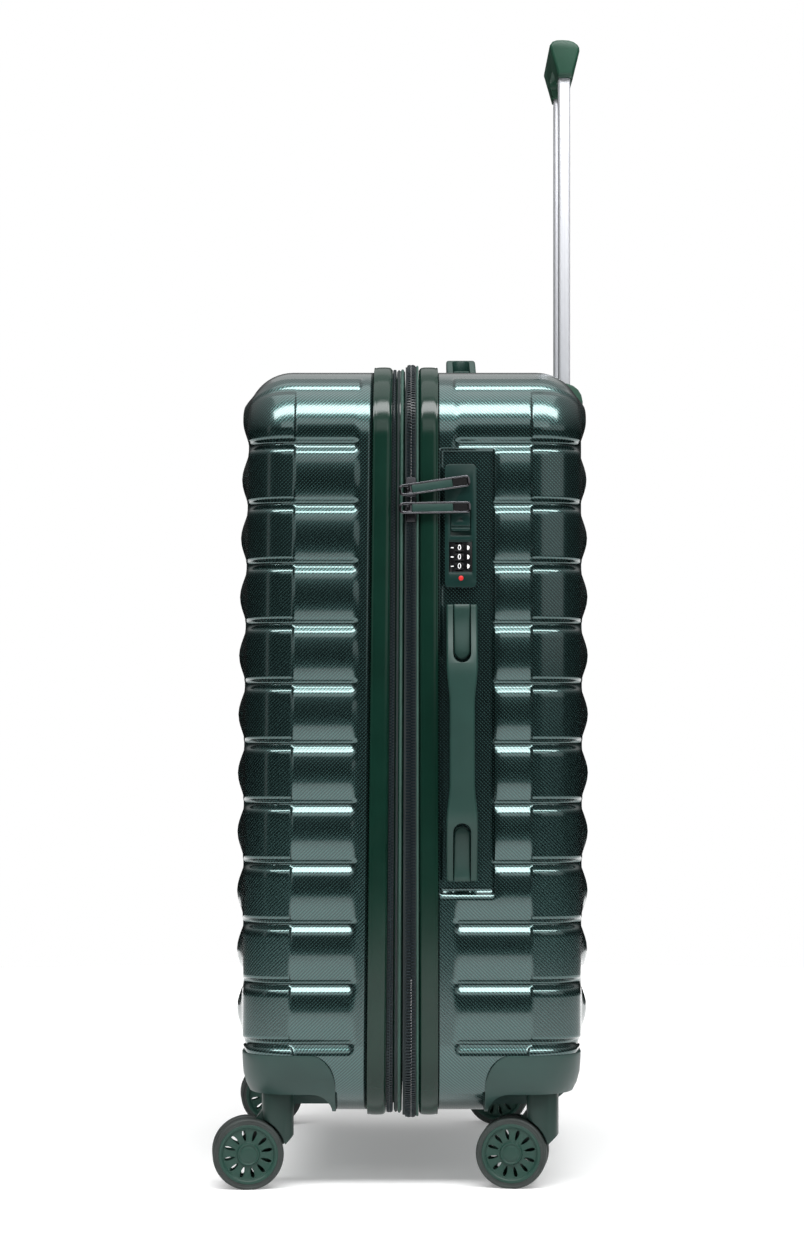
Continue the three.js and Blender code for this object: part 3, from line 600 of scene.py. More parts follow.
def half_shell(name, sign, face, rim, rib_start, body, node):
    """A ribbed half shell, cut away where the casters and the trolley's bezel sit."""
    rows = [PANEL_Z[0] + d for d in (-1.8, -0.8, 0.2)] + [PANEL_Z[1] + d for d in (-0.2, 0.8, 1.8)]
    points, faces, uvs = tray(0, face, rim, rib_start, sign, rows)
    obj = piece(name, points, faces, "shell", body, [node], None, uvs)
    pocket_x, pocket_y, pocket_z = 133, 60 if sign > 0 else 66, 81
    planes = [((pocket_x, 0, 0), (1, 0, 0)), ((-pocket_x, 0, 0), (1, 0, 0)),
              ((0, sign * pocket_y, 0), (0, 1, 0)), ((0, 0, pocket_z), (0, 0, 1))]

    def hidden(c):
        pocket = abs(c.x) > pocket_x and c.y * sign > pocket_y and c.z < pocket_z
        bezel = sign > 0 and abs(c.x) < 73.6 and c.y > 114 and c.z > 641.5
        return pocket or bezel

    cut_away(obj, planes, hidden)
    modified(obj, "SOLIDIFY", thickness=SHELL_WALL * MM, offset=-1)


# ---- rings round the case ----
def outline(steps, closed=True):
    """Arc centres and directions along the case's outline; open leaves out the hinge."""
    x = HALF_WIDTH - OUTLINE_RADIUS
    low, high = CASE_BOTTOM + OUTLINE_RADIUS, CASE_TOP - OUTLINE_RADIUS
    corners = [(-x, low, 180), (x, low, 270), (x, high, 0), (-x, high, 90)]
    stations = [] if closed else [(-x, HINGE_LOW, 180)]
    for cx, cz, start in corners:
        stations += [(cx, cz, start + 90 * i / steps) for i in range(steps + 1)]
    return stations + ([] if closed else [(-x, HINGE_HIGH, 180)])


def swept(section, closed=True, steps=14, leaning=True, ripple=0.0):
    """Points of a section of (proud, y) places carried round the case."""
    rows = []
    for i, (cx, cz, degrees) in enumerate(outline(steps, closed)):
        a = math.radians(degrees)
        for k, (proud, y) in enumerate(section):
            reach = OUTLINE_RADIUS + proud + ripple * math.sin(i * 2.4 + k)
            z = cz + math.sin(a) * reach
            rows.append((cx + math.cos(a) * reach, lean(y, z) if leaning else y, z))
    return rows


def ring(name, section, look, body, nodes=(), closed=True, leaning=True):
    """A closed section swept round the case."""
    rows = swept(section, closed, leaning=leaning)
    count = len(section)
    faces = lattice(len(rows) // count, count, around=closed, caps=not closed)
    piece(name, rows, faces, look, body, nodes, 35)


def band_profile(start, end, inner, proud, bead_side):
    """A rim strip: one broad crowned bar with a fine bead along the edge away from the zip."""
    shape = [(inner, start), (proud - 2.4, start)]
    for i in range(21):
        t = i / 20
        y = start + 0.25 + t * (end - start - 0.5)
        rise = proud - 0.35 - 2.0 * abs(2 * t - 1) ** 7 + 0.35 * (1 - (2 * t - 1) ** 2)
        away = abs(y - (start + 1.0 if bead_side < 0 else end - 1.0))
        if away < 1.0:
            rise = max(rise, proud - 1.0 + 0.7 * math.sqrt(1 - away ** 2))
        elif away < 1.35:
            rise = min(rise, proud - 1.1)
        shape.append((rise, y))
    return shape + [(proud - 2.4, end), (inner, end)]


def arc(cx, cy, radius, start, sweep, steps, tall=None):
    """Points along an arc, or part of an ellipse that is tall high."""
    turns = [math.radians(start + sweep * i / steps) for i in range(steps + 1)]
    return [(cx + radius * math.cos(a), cy + (tall or radius) * math.sin(a)) for a in turns]


def circle(cx, cy, radius, sides):
    return arc(cx, cy, radius, 0, 360, sides)[:-1]


TOOTH_PITCH = 2.5


def path_places(proud, closed):
    """Evenly spaced places along the outline: (x, z, direction out) at a height over the shell."""
    reach = OUTLINE_RADIUS + proud
    line = [(cx + math.cos(math.radians(d)) * reach, cz + math.sin(math.radians(d)) * reach, d)
            for cx, cz, d in outline(24, closed)]
    if closed:
        line.append(line[0][:2] + (line[0][2] + 360,))
    places, left = [], 0.0
    for (x0, z0, d0), (x1, z1, d1) in zip(line, line[1:]):
        span = math.hypot(x1 - x0, z1 - z0)
        if span < 1e-6:
            continue
        if d1 < d0 - 1:
            d1 += 360
        at = left
        while at < span:
            t = at / span
            places.append((x0 + (x1 - x0) * t, z0 + (z1 - z0) * t, d0 + (d1 - d0) * t))
            at += TOOTH_PITCH
        left = at - span
    return places


def teeth(name, y_from, y_to, proud, body, closed, phase=0.0, height=1.7):
    """A row of moulded zip teeth from the tape edge y_from to the chain's middle y_to."""
    rows, faces = [], []
    for x, z, degrees in path_places(proud, closed):
        a = math.radians(degrees)
        out = np.array((math.cos(a), 0, math.sin(a)))
        along = np.array((-math.sin(a), 0, math.cos(a)))
        middle = np.array((x, 0, z)) + along * phase
        faces += lattice(3, 4, len(rows), caps=True)
        for share, half, rise in ((0.0, 0.62, 0.55), (0.55, 0.55, 1.0), (1.0, 0.8, 0.8)):
            y = y_from + (y_to - y_from) * share
            for up, sideways in ((0, -1), (height * rise, -0.75), (height * rise, 0.75), (0, 1)):
                p = middle + out * up + along * sideways * half
                rows.append((p[0], float(lean(y, p[2])), p[2]))
    piece(name, rows, faces, "teeth", body, (), 50)


# ---- camera, floor and light ----
CAMERA_REACH = 2250
CAMERA_Y, CAMERA_Z = -1.4, 371
LENS = 80.1
SHIFT = (-0.0081, 0.101)
FLOOR_RADIUS = 2.1
FLOOR_SIDES = 96
SKY = ((0.0, 0.006), (0.06, 0.012), (0.3, 0.07), (1.0, 0.1))
# name, place, aim, size, power
SOFTBOXES = [
    ("overhead", (0.3, 0, 2.6), (0, 0, 0.4), (2.6, 1.2), 12),
    ("front_top", (1.65, 0.1, 2.5), (0, 0, 0.45), (4.0, 0.7), 112),
    ("front_low", (3.4, 0.1, 2.05), (0, 0, 0.5), (3.2, 1.0), 15),
    ("right_box", (2.5, 1.85, 1.2), (0, 0.1, 0.5), (3.0, 1.4), 9.5),
    ("left_box", (1.7, -2.1, 0.9), (0, 0, 0.4), (0.3, 1.4), 0.7),
    ("back_top", (-1.7, 0.2, 2.5), (0, 0, 0.4), (2.4, 1.3), 3),
]


def camera():
    data = bpy.data.cameras.new("camera")
    obj = placed("camera", data)
    obj.location = spot(HALF_WIDTH + CAMERA_REACH, CAMERA_Y, CAMERA_Z)
    obj.rotation_euler = (math.radians(90), 0, math.radians(90))
    data.lens = LENS
    data.sensor_fit = "AUTO"
    data.sensor_width = 36
    data.shift_x, data.shift_y = SHIFT
    data.clip_end = 50
    scene = bpy.context.scene
    scene.camera = obj
    scene.view_settings.view_transform = "Standard"
    scene.view_settings.look = "None"


def floor():
    """A pale disc with a faint glow of its own, stronger behind the case."""
    mesh = bpy.data.meshes.new("floor")
    rim = [(x, y, 0) for x, y in circle(0, 0, FLOOR_RADIUS, FLOOR_SIDES)]
    mesh.from_pydata(rim, [], [tuple(range(FLOOR_SIDES))])
    look = Shader("floor_white", (0.8, 0.8, 0.8), 0.8)
    look.tint(look.noise(0.7, 2), 0.99, 1.01)
    put(look.bsdf, Emission_Color=(1, 1, 1, 1), Specular_IOR_Level=0.2)
    place = look.node("ShaderNodeSeparateXYZ")
    look.link(look.places["Object"], place.inputs[0])
    look.spread(place.outputs["X"], "Emission Strength", From_Min=-0.9, From_Max=-1.9,
                To_Min=0.24, To_Max=0.7)
    mesh.materials.append(look.material)
    placed("floor", mesh)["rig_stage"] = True


def sky():
    """White to the camera; everything else is lit by greys that brighten upwards."""
    world = bpy.data.worlds.new("studio")
    bpy.context.scene.world = world
    world.use_nodes = True
    nodes, link = world.node_tree.nodes, world.node_tree.links.new
    height = nodes.new("ShaderNodeSeparateXYZ")
    link(nodes.new("ShaderNodeTexCoord").outputs["Generated"], height.inputs["Vector"])
    greys = nodes.new("ShaderNodeValToRGB")
    stops = greys.color_ramp.elements
    for at, grey in SKY:
        stops.new(at).color = (grey, grey, grey, 1)
    stops.remove(stops[0])
    stops.remove(stops[-1])
    link(height.outputs["Z"], greys.inputs["Fac"])
    seen = nodes.new("ShaderNodeMix")
    seen.data_type = "RGBA"
    link(nodes.new("ShaderNodeLightPath").outputs["Is Camera Ray"], seen.inputs[0])
    link(greys.outputs["Color"], seen.inputs[6])
    seen.inputs[7].default_value = (1, 1, 1, 1)
    link(seen.outputs[2], nodes["Background"].inputs["Color"])
    put(nodes["Background"], Strength=1.0)


def lights():
    for name, place, aim, size, power in SOFTBOXES:
        light = bpy.data.lights.new(name, "AREA")
        light.shape = "RECTANGLE"
        light.size, light.size_y = size
        light.energy = power
        obj = placed(name, light)
        obj.location = place
        obj.rotation_euler = (Vector(aim) - Vector(place)).to_track_quat("-Z", "Y").to_euler()


camera()
floor()
sky()
lights()

# ---- shells and the joint between them ----
half_shell("rear_shell_skin", 1, REAR_FACE, REAR_BAND[1] + 0.3, 32, "rear_case", "rear_shell")
half_shell("front_shell_skin", -1, FRONT_FACE, 33.3, 42, "front_case", "front_shell")
ring("rear_rim_strip", band_profile(*REAR_BAND, -4, BAND_PROUD, 1), "band", "rear_case",
     ["rear_rim_band"])
ring("front_rim_strip", band_profile(*FRONT_BAND, -4, BAND_PROUD, -1), "band", "front_case",
     ["front_rim_band"])

# ---- zips and piping ----
ring("zip_tape_rear", [(0.4, -2.0), (4.9, -2.0), (5.3, -1.6), (5.3, 1.9), (4.6, 2.3), (4.6, 4.0),
     (0.4, 4.0)], "zip", "rear_case", ["main_zip_rear"], closed=False)
ring("zip_tape_lid", [(0.4, -6.7), (4.6, -6.7), (4.6, -5.6), (5.3, -5.2), (5.3, -2.8),
     (4.9, -2.4), (0.4, -2.4)], "zip", "lid_frame", ["main_zip_lid"], closed=False)
ring("zip_piping_rear", circle(4.9, 3.1, 0.95, 12), "piping", "rear_case", (), closed=False)
teeth("zip_teeth_rear", 1.3, -2.15, 5.0, "rear_case", False)
teeth("zip_teeth_lid", -5.4, -2.3, 5.0, "lid_frame", False, phase=1.25)
ring("middle_strip", [(-5, -13.8), (0.8, -13.8), (1.4, -13.2), (1.4, -7.9), (0.8, -7.2),
     (-5, -7.2)], "band", "lid_frame", ["middle_frame"])
ring("middle_piping", circle(1.7, -9.2, 1.25, 14), "piping", "lid_frame")
ring("middle_cord", circle(1.4, -12.2, 0.9, 12), "zip", "lid_frame")
ring("expander_tape", [(0.2, -17.1), (1.2, -17.1), (1.5, -16.7), (1.5, -14.6), (1.2, -14.3),
     (0.2, -14.3)], "zip", "front_case", ["expander_zip_front"])
teeth("expander_teeth_a", -17.0, -15.55, 1.3, "front_case", True, height=1.3)
teeth("expander_teeth_b", -14.4, -15.85, 1.3, "front_case", True, phase=1.25, height=1.3)


# ---- solids for fittings ----
def prism(path, low, high, plane="x"):
    """A path in the two other axes, pushed out along x, y or z."""
    order = {"x": (2, 0, 1), "y": (0, 2, 1), "z": (0, 1, 2)}[plane]
    points = [tuple((u, v, w)[k] for k in order) for w in (low, high) for u, v in path]
    return points, lattice(2, len(path), caps=True)


def rounded(width, height, radius, steps=6, cx=0.0, cy=0.0):
    path = []
    for sx, sy, start in ((1, -1, -90), (1, 1, 0), (-1, 1, 90), (-1, -1, 180)):
        path += arc(cx + sx * (width / 2 - radius), cy + sy * (height / 2 - radius), radius,
                    start, 90, steps)
    return path


def slab(size, radius, steps, centre, low, high, plane="x"):
    """A plate with rounded corners."""
    return prism(rounded(*size, radius, steps, *centre), low, high, plane)


def box_solid(x, y, z):
    return prism([(x[0], y[0]), (x[1], y[0]), (x[1], y[1]), (x[0], y[1])], *z, "z")


def joined(parts):
    points, faces = [], []
    for part_points, part_faces in parts:
        base = len(points)
        points += [tuple(p) for p in part_points]
        faces += [tuple(i + base for i in f) for f in part_faces]
    return points, faces


def moved(part, matrix):
    return [tuple(matrix @ Vector(p)) for p in part[0]], part[1]


def cutter(part):
    """A working object made from a part; it doesn't stay in the scene."""
    mesh = bpy.data.meshes.new("cutter")
    mesh.from_pydata([tuple(np.array(p) * MM + np.array(ORIGIN)) for p in part[0]], [], part[1])
    outward(mesh)
    return placed("cutter", mesh)


def taken(obj):
    """Turns a working object back into a part."""
    points = (np.array([v.co for v in obj.data.vertices]) - np.array(ORIGIN)) / MM
    faces = [tuple(p.vertices) for p in obj.data.polygons]
    bpy.data.objects.remove(obj)
    return points, faces


def carve(obj, other, operation="DIFFERENCE"):
    """Cuts obj by a part or a working object, which is used up."""
    if isinstance(other, tuple):
        other = cutter(other)
    modified(obj, "BOOLEAN", object=other, operation=operation, solver="EXACT")
    bpy.data.objects.remove(other)


def bevel(obj, width, segments=2, angle=38):
    modified(obj, "BEVEL", width=width * MM, segments=segments, limit_method="ANGLE",
             angle_limit=math.radians(angle), harden_normals=False)
    obj.data.shade_smooth()
    obj.data.set_sharp_from_angle(angle=math.radians(42))


def refined(node, look, width, segments=2):
    """A copy of a CAD node with its edges rounded over."""
    source = bpy.data.objects[node]
    mesh = source.data.copy()
    mesh.materials.clear()
    bm = bmesh.new()
    bm.from_mesh(mesh)
    bmesh.ops.remove_doubles(bm, verts=bm.verts, dist=1e-6)
    bmesh.ops.dissolve_limit(bm, angle_limit=math.radians(1.0), verts=bm.verts, edges=bm.edges)
    bm.to_mesh(mesh)
    bm.free()
    obj = finish_piece(node + "_moulded", mesh, look, source["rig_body"], [node])
    bevel(obj, width, segments)


# ---- corner covers ----
def capped_tray(inset, face, rim):
    """A plain tray closed over its open side."""
    points, faces, _ = tray(inset, face, rim, rim, 1, plain=True)
    count = faces[0][3]
    return list(map(tuple, points)), faces + [tuple(range(count))[::-1]]


def cover_path(inner, outer):
    """The cover's outline on one side, with its big rounded corner."""
    wide, tall = 21, 30
    return [(inner, 61.8), (outer, 61.8), (outer, COVER_TOP)] + arc(
        inner + wide, COVER_TOP - tall, wide, 90, 90, 12, tall)


def pocket_path(inner, outer, fillet):
    """The arched pocket over a caster, seen from one side."""
    top, below = 79, 20
    return [(outer, below), (outer, top)] + arc(
        inner + fillet, top - fillet, fillet, 90, 90, 8) + [(inner, below)]


def both_sides(points, y_sign=1):
    """Copies of corner points for the right and the left of the case."""
    for side, x_sign in (("right", 1), ("left", -1)):
        copy = points * (x_sign, y_sign, 1)
        if y_sign < 0:
            copy[:, 1] = lean(copy[:, 1], copy[:, 2])
        yield side, copy


def corner_covers():
    for half, face, y_sign in (("rear", REAR_FACE, 1), ("front", FRONT_FACE, -1)):
        wrap = cutter(capped_tray(-COVER_PROUD, face - 1.5, 20))
        carve(wrap, prism(cover_path(59, 170), 132, 240), "INTERSECT")
        carve(wrap, prism(cover_path(132, 240), 40, 170, "y"), "INTERSECT")
        inner = cutter(capped_tray(0.1, face - 3.9, 10))
        carve(inner, box_solid((100, 260), (20, 180), (82, 140)), "INTERSECT")
        carve(wrap, inner)
        room = cutter(prism(pocket_path(62, 190, 17), 135, 270))
        carve(room, prism(pocket_path(135, 270, 9), 62, 190, "y"), "INTERSECT")
        carve(wrap, room)
        bevel(wrap, 0.8, 2, 32)
        base, faces = taken(wrap)
        for side, points in both_sides(base, y_sign):
            piece(f"cover_{half}_{side}", points, faces, "trim", f"{half}_case",
                  [f"corner_cover_{half}_{side}"], 35)


corner_covers()


# ---- casters ----
WHEEL_WIDTH = 11.2
WHEEL_RADIUS = 29.5
AXLE_HEIGHT = 29.14
WHEEL_OUT = 5
TRAIL = 25.0
SLOTS = 12
# place, x, y, yaw
CASTERS = (("rear_right", 190.5, 107.3, -7), ("rear_left", -190.5, 107.3, -7),
           ("front_right", 190.5, -113.1, 5), ("front_left", -190.5, -113.1, 5))


def turned(profile, sides):
    """Turns a closed (radius, along) profile about X."""
    points = []
    for i in range(sides):
        a = 2 * math.pi * i / sides
        points += [(along, r * math.cos(a), r * math.sin(a)) for r, along in profile]
    return points, lattice(sides, len(profile), around=True)


def hub_part():
    """A hub with slots between its spokes and a plain button in the middle."""
    w = WHEEL_WIDTH
    profile = [(1.5, w - 0.6), (6.6, w - 0.6), (7.2, w - 0.9), (7.5, w - 0.9), (7.9, w - 0.2),
               (8.7, w - 0.2), (9.2, w - 0.7), (9.5, w - 2.4), (20.9, w - 2.4), (21.5, w - 0.9),
               (22.1, w - 0.6), (22.4, w - 0.1), (24.2, w - 0.1), (24.6, w - 0.5), (24.6, 0.3),
               (21.5, 0.2), (21.0, 5.6), (9.0, 5.6), (8.5, 0.3), (1.5, 0.3)]
    body = cutter(turned(profile, 72))
    slot = [(out, (0.75 + 0.085 * (out - 11)) * side * 1.25)
            for out, side in arc(15.6, 0, 4.6, 0, 360, 14, 1)[:-1]]
    carve(body, joined([
        moved(prism(slot, 2, w + 1), Matrix.Rotation(math.radians(360 / SLOTS * i + 12), 4, "X"))
        for i in range(SLOTS)]))
    bevel(body, 0.35, 1, 50)
    cap = [(0.01, w - 2), (0.01, w - 0.35), (4.5, w - 0.35), (6.0, w - 0.5), (6.5, w - 0.9),
           (6.5, w - 2)]
    return joined([taken(body), turned(cap, 48)])


def tyre_part():
    """A tyre with round shoulders and a fine line round its middle."""
    r, w = WHEEL_RADIUS, WHEEL_WIDTH
    profile = [(24.5, 0.5), (27.4, 0.45)] + arc(r - 1.9, 2.2, 1.85, -90, 90, 6, 1.8)
    profile += [(r, 3.4), (r, w / 2 - 1), (r - 0.12, w / 2 - 0.75), (r - 0.12, w / 2 + 0.75),
                (r, w / 2 + 1), (r, w - 3.4)]
    profile += arc(r - 1.9, w - 2.2, 1.85, 0, 90, 6, 1.8)
    profile += [(27.4, w - 0.45), (26.6, w - 0.75), (25.4, w - 0.5), (24.65, w - 0.5)]
    return turned(profile, 96)


def casters():
    hub, tyre = hub_part(), tyre_part()
    for place, x, y, yaw in CASTERS:
        refined(f"caster_fork_{place}", "fork", 0.9, 3)
        caster = Matrix.Translation((x, y, 0)) @ Matrix.Rotation(math.radians(yaw), 4, "Z")
        for side, sign in (("right", 1), ("left", -1)):
            turn = Matrix.Identity(4) if sign > 0 else Matrix.Rotation(math.pi, 4, "Z")
            wheel = caster @ Matrix.Translation((sign * WHEEL_OUT, -TRAIL, AXLE_HEIGHT)) @ turn
            for name, part, angle in (("hub", hub, 40), ("tyre", tyre, 30)):
                piece(f"{name}_{place}_{side}", *moved(part, wheel), name,
                      f"wheel_{place}_{side}", [f"wheel_{name}_{place}_{side}"], angle)


casters()


# ---- carry handles ----
def bezier(p0, p1, p2, p3, steps=16):
    t = np.linspace(0, 1, steps)[:, None]
    p0, p1, p2, p3 = (np.array(p, float) for p in (p0, p1, p2, p3))
    return (1 - t) ** 3 * p0 + 3 * (1 - t) ** 2 * t * p1 + 3 * (1 - t) * t ** 2 * p2 + t ** 3 * p3


def soft_row(low, high, wide, soft, z):
    """A softly rounded oblong at height z, from low to high and wide to either side."""
    middle, deep = (high + low) / 2, (high - low) / 2
    row = []
    for u, v in rounded(2, 2, 0.5, 4):
        cu, cv = math.copysign(1, u), math.copysign(1, v)
        du, dv = (u - cu * 0.5) * 2, (v - cv * 0.5) * 2
        row.append((middle + cu * (deep - soft) + du * soft, cv * (wide - soft) + dv * soft, z))
    return row


def stacked(rows):
    """A part from loops of points, closed at both ends."""
    points = [point for row in rows for point in row]
    return points, lattice(len(rows), len(rows[0]), caps=True)


def strap_half(half, end):
    """Half of a carry handle, drawn along Z with its outer side towards +X."""
    outer = np.vstack([[(6.5, half)], [(8.4, half - 0.6)], [(9, half - 2)],
                       bezier((9, half - 3), (15, half - 30), (26, half - 40), (26, half - 62)),
                       [(26.4, 0)]])
    inner = np.vstack([[(0.6, half)], [(0.6, half - 26)],
                       bezier((0.6, half - 26), (8, half - 38), (19, half - 50), (19, half - 66)),
                       [(19, 0)]])
    # the strap runs past the middle and is cut there, so that the halves meet
    zs = np.concatenate([[half, half - 0.6, half - 1.6], np.linspace(half - 3, half - 66, 44),
                         np.linspace(half - 68, 0, 16), [-6.0]])
    rows = []
    for z in zs:
        high = np.interp(-z, -outer[:, 1], outer[:, 0])
        low = np.interp(-z, -inner[:, 1], inner[:, 0])
        wide = 10.2 + 2.5 * float(smooth(half - 82, half - 50, z)) - 0.5 * float(
            smooth(half - 1.8, half, z))
        rows.append(soft_row(low, high, wide, min(2.2, (high - low) / 2 * 0.9), z))
    obj = cutter(stacked(rows))
    slot = [(-7.3, half + 6), (7.3, half + 6)] + arc(0, half - 40.7, 7.3, 0, -180, 15)
    carve(obj, prism(slot, -6, 40))
    bevel(obj, 0.5, 2, 50)
    carve(obj, box_solid((-20, 60), (-30, 30), (-20, 0)))
    points, faces = taken(obj)
    faces = [f for f in faces if not all(abs(points[i][2]) < 0.05 for i in f)]
    return points * (1, 1, end), faces


def anchor_part(half, end):
    """The fixed tongue between the two prongs of the handle."""
    zs = np.concatenate([[half, half - 0.5], np.linspace(half - 1.5, half - 36, 12),
                         half - 38 - 6.7 * np.sin(np.linspace(0.05, math.pi / 2, 12))])
    rows = []
    for z in zs:
        high = 9.0 + 5.0 * float(smooth(half - 8, half - 42, z)) - 0.9 * float(
            smooth(half - 1.5, half, z))
        past = max(0.0, (half - 38) - z)
        wide = 6.7 * math.sqrt(max(0.02, 1 - (past / 6.75) ** 2))
        rows.append(soft_row(0.3, high, wide, min(1.3, wide * 0.9), z))
    points, faces = stacked(rows)
    return [(x, y, z * end) for x, y, z in points], faces


def carry_handle(name, half, turn, anchors):
    """turn maps the handle's own frame into the case frame; the strap is made as two halves, one
    from each end.
    """
    for end, label in ((1, "a"), (-1, "b")):
        points, faces = moved(strap_half(half, end), turn)
        obj = piece(f"{name}_strap_{label}", points, faces, "handle", None, [name])
        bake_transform(obj)
        piece(f"{name}_tongue_{label}", *moved(anchor_part(half, end), turn), "handle",
              "rear_case", [f"{name}_anchor_{anchors[label]}"])


SIDE_HALF = 113.5
SIDE_PLACE = (PANEL_X, 39.5, 369.5)
TOP_HALF = 112.5
TOP_PLACE = (0, 41.3, CASE_TOP)
side_turn = Matrix.Translation(SIDE_PLACE)
top_turn = Matrix.Translation(TOP_PLACE) @ Matrix.Rotation(-math.pi / 2, 4, "Y")
carry_handle("side_handle", SIDE_HALF, side_turn, {"a": "upper", "b": "lower"})
carry_handle("top_handle", TOP_HALF, top_turn, {"a": "left", "b": "right"})


# ---- combination lock ----
LOCK_Y = 38.5
LOCK_Z = (497.0, 598.0)
LOCK_FACE = 227.0
DIAL_Z = 521.9
DIAL_PITCH = 7.6
DIAL_AXIS = (217.5, 37.5)
DIAL_RADIUS = 8.6
BUTTON_Z = (543.4, 558.8)
MARK_X = (225.7, 226.1)
DOT_PLACE = (LOCK_FACE - 0.1, 38.8, 504.5)
THROUGH = 240


def lock():
    # plate, opened for the dials and stepped down round the button
    low, high = DIAL_Z - 1.62 * DIAL_PITCH, DIAL_Z + 1.62 * DIAL_PITCH
    dials = (LOCK_Y, DIAL_Z)
    plate = piece("lock_plate", *slab((26, 101), 4, 8, (LOCK_Y, sum(LOCK_Z) / 2), PANEL_X + 0.3,
                                      LOCK_FACE), "lock", "rear_case", ["lock_body"])
    carve(plate, slab((19.4, high - low + 3), 1.2, 3, dials, LOCK_FACE - 0.9, THROUGH))
    carve(plate, slab((19.0, high - low), 0.8, 3, dials, 200, THROUGH))
    top, bottom = BUTTON_Z[1] + 0.7, BUTTON_Z[0] - 4.2
    carve(plate, slab((17.0, top - bottom), 1.0, 3, (LOCK_Y, (top + bottom) / 2),
                      LOCK_FACE - 3.2, THROUGH))
    bevel(plate, 0.7, 3, 40)
    # window frame and its fixed marks
    well = piece("lock_window", *slab((18.6, high - low + 2.2), 1.0, 3, dials, 219.5,
                                      LOCK_FACE - 1.1), "black", "rear_case")
    levels = [DIAL_Z + (i - 1) * DIAL_PITCH for i in range(3)]
    for z in levels:
        carve(well, slab((7.8, 6.9), 0.6, 3, (LOCK_Y - 1.0, z), 200, THROUGH))
    carve(well, prism(circle(*DIAL_AXIS, 9.0, 48), low + 0.8, high - 0.8, "z"))
    bevel(well, 0.3, 2, 40)
    marks = []
    for z in levels:
        marks.append(slab((2.4, 0.8), 0.3, 3, (LOCK_Y - 6.9, z), *MARK_X))
        flat = LOCK_Y + 5.4
        half_moon = [(flat, z - 1.9), *arc(flat, z, 1.9, -80, 160, 10), (flat, z + 1.9)]
        marks.append(prism(half_moon, *MARK_X))
    piece("lock_marks", *joined(marks), "white", "rear_case", (), 30)
    dot = turned([(0.01, 0), (0.01, 0.75), (1.2, 0.7), (1.75, 0.5), (2.0, 0.15), (2.0, 0)], 32)
    piece("lock_dot", *moved(dot, Matrix.Translation(DOT_PLACE)), "red", "rear_case", (), 35)
    # release button with its ledge and pin hole
    button = piece("lock_release", *slab((15.6, BUTTON_Z[1] - BUTTON_Z[0]), 1.4, 4,
                                         (LOCK_Y, sum(BUTTON_Z) / 2), 214, LOCK_FACE - 0.2),
                   "lock", "lock_button", ["lock_button"])
    carve(button, slab((16, 2.2), 0.4, 2, (LOCK_Y, BUTTON_Z[0] + 2.9), LOCK_FACE - 1.0, THROUGH))
    carve(button, prism(circle(LOCK_Y, 553, 1.1, 16), LOCK_FACE - 2.4, THROUGH))
    bevel(button, 0.45, 2, 40)
    for number in range(3):
        dial(number)


def round_dial(radius, turn, z):
    """A point at a radius and turn about the dials' axis."""
    return (DIAL_AXIS[0] + radius * math.cos(turn), DIAL_AXIS[1] + radius * math.sin(turn), z)


def digit_mesh(digit):
    """Points and faces of one digit, lying flat."""
    text = bpy.data.curves.new("digit", "FONT")
    text.body = str(digit)
    text.size = 6.2
    text.extrude = 0.12
    text.align_x = text.align_y = "CENTER"
    text.resolution_u = 3
    holder = placed("digit", text)
    graph = bpy.context.evaluated_depsgraph_get()
    mesh = bpy.data.meshes.new_from_object(holder.evaluated_get(graph))
    part = [tuple(v.co) for v in mesh.vertices], [tuple(p.vertices) for p in mesh.polygons]
    bpy.data.objects.remove(holder)
    bpy.data.meshes.remove(mesh)
    return part


def dial(number):
    """One turning wheel with ten flats and the digits on them."""
    middle = DIAL_Z + (1 - number) * DIAL_PITCH
    body = f"lock_dial_{number + 1}"
    half, sides = 3.3, 60
    rows = []
    levels = ((-half, 0.9), (-half + 0.5, 0.25), (-half + 1.0, 0), (half - 1.0, 0),
              (half - 0.5, 0.25), (half, 0.9))
    for level, shrink in levels:
        for i in range(sides):
            a = 2 * math.pi * i / sides
            ridge = 0.55 * abs(math.cos(5 * a)) ** 0.6 - 0.3
            rows.append(round_dial(DIAL_RADIUS - shrink - max(0, 0.3 - ridge) * 0.9, a,
                                   middle + level))
    piece(f"dial_wheel_{number + 1}", rows, lattice(len(levels), sides, caps=True), "black",
          body, [body], 30)
    parts = []
    for digit in range(10):
        flat, faces = digit_mesh(digit)
        turn = math.radians(36 * digit)
        parts.append(([round_dial(DIAL_RADIUS + 0.02 + z, x / DIAL_RADIUS + turn, middle + y)
                       for x, y, z in flat], faces))
    piece(f"dial_digits_{number + 1}", *joined(parts), "white", body, (), 30)


lock()


# ---- zip sliders and pullers ----
PULLER_LENGTH = 55.0
PULLER_WIDTH = 9.4
PULLER_PIVOT = (236.4, -9.4)
PULLER_YAW = 6.5


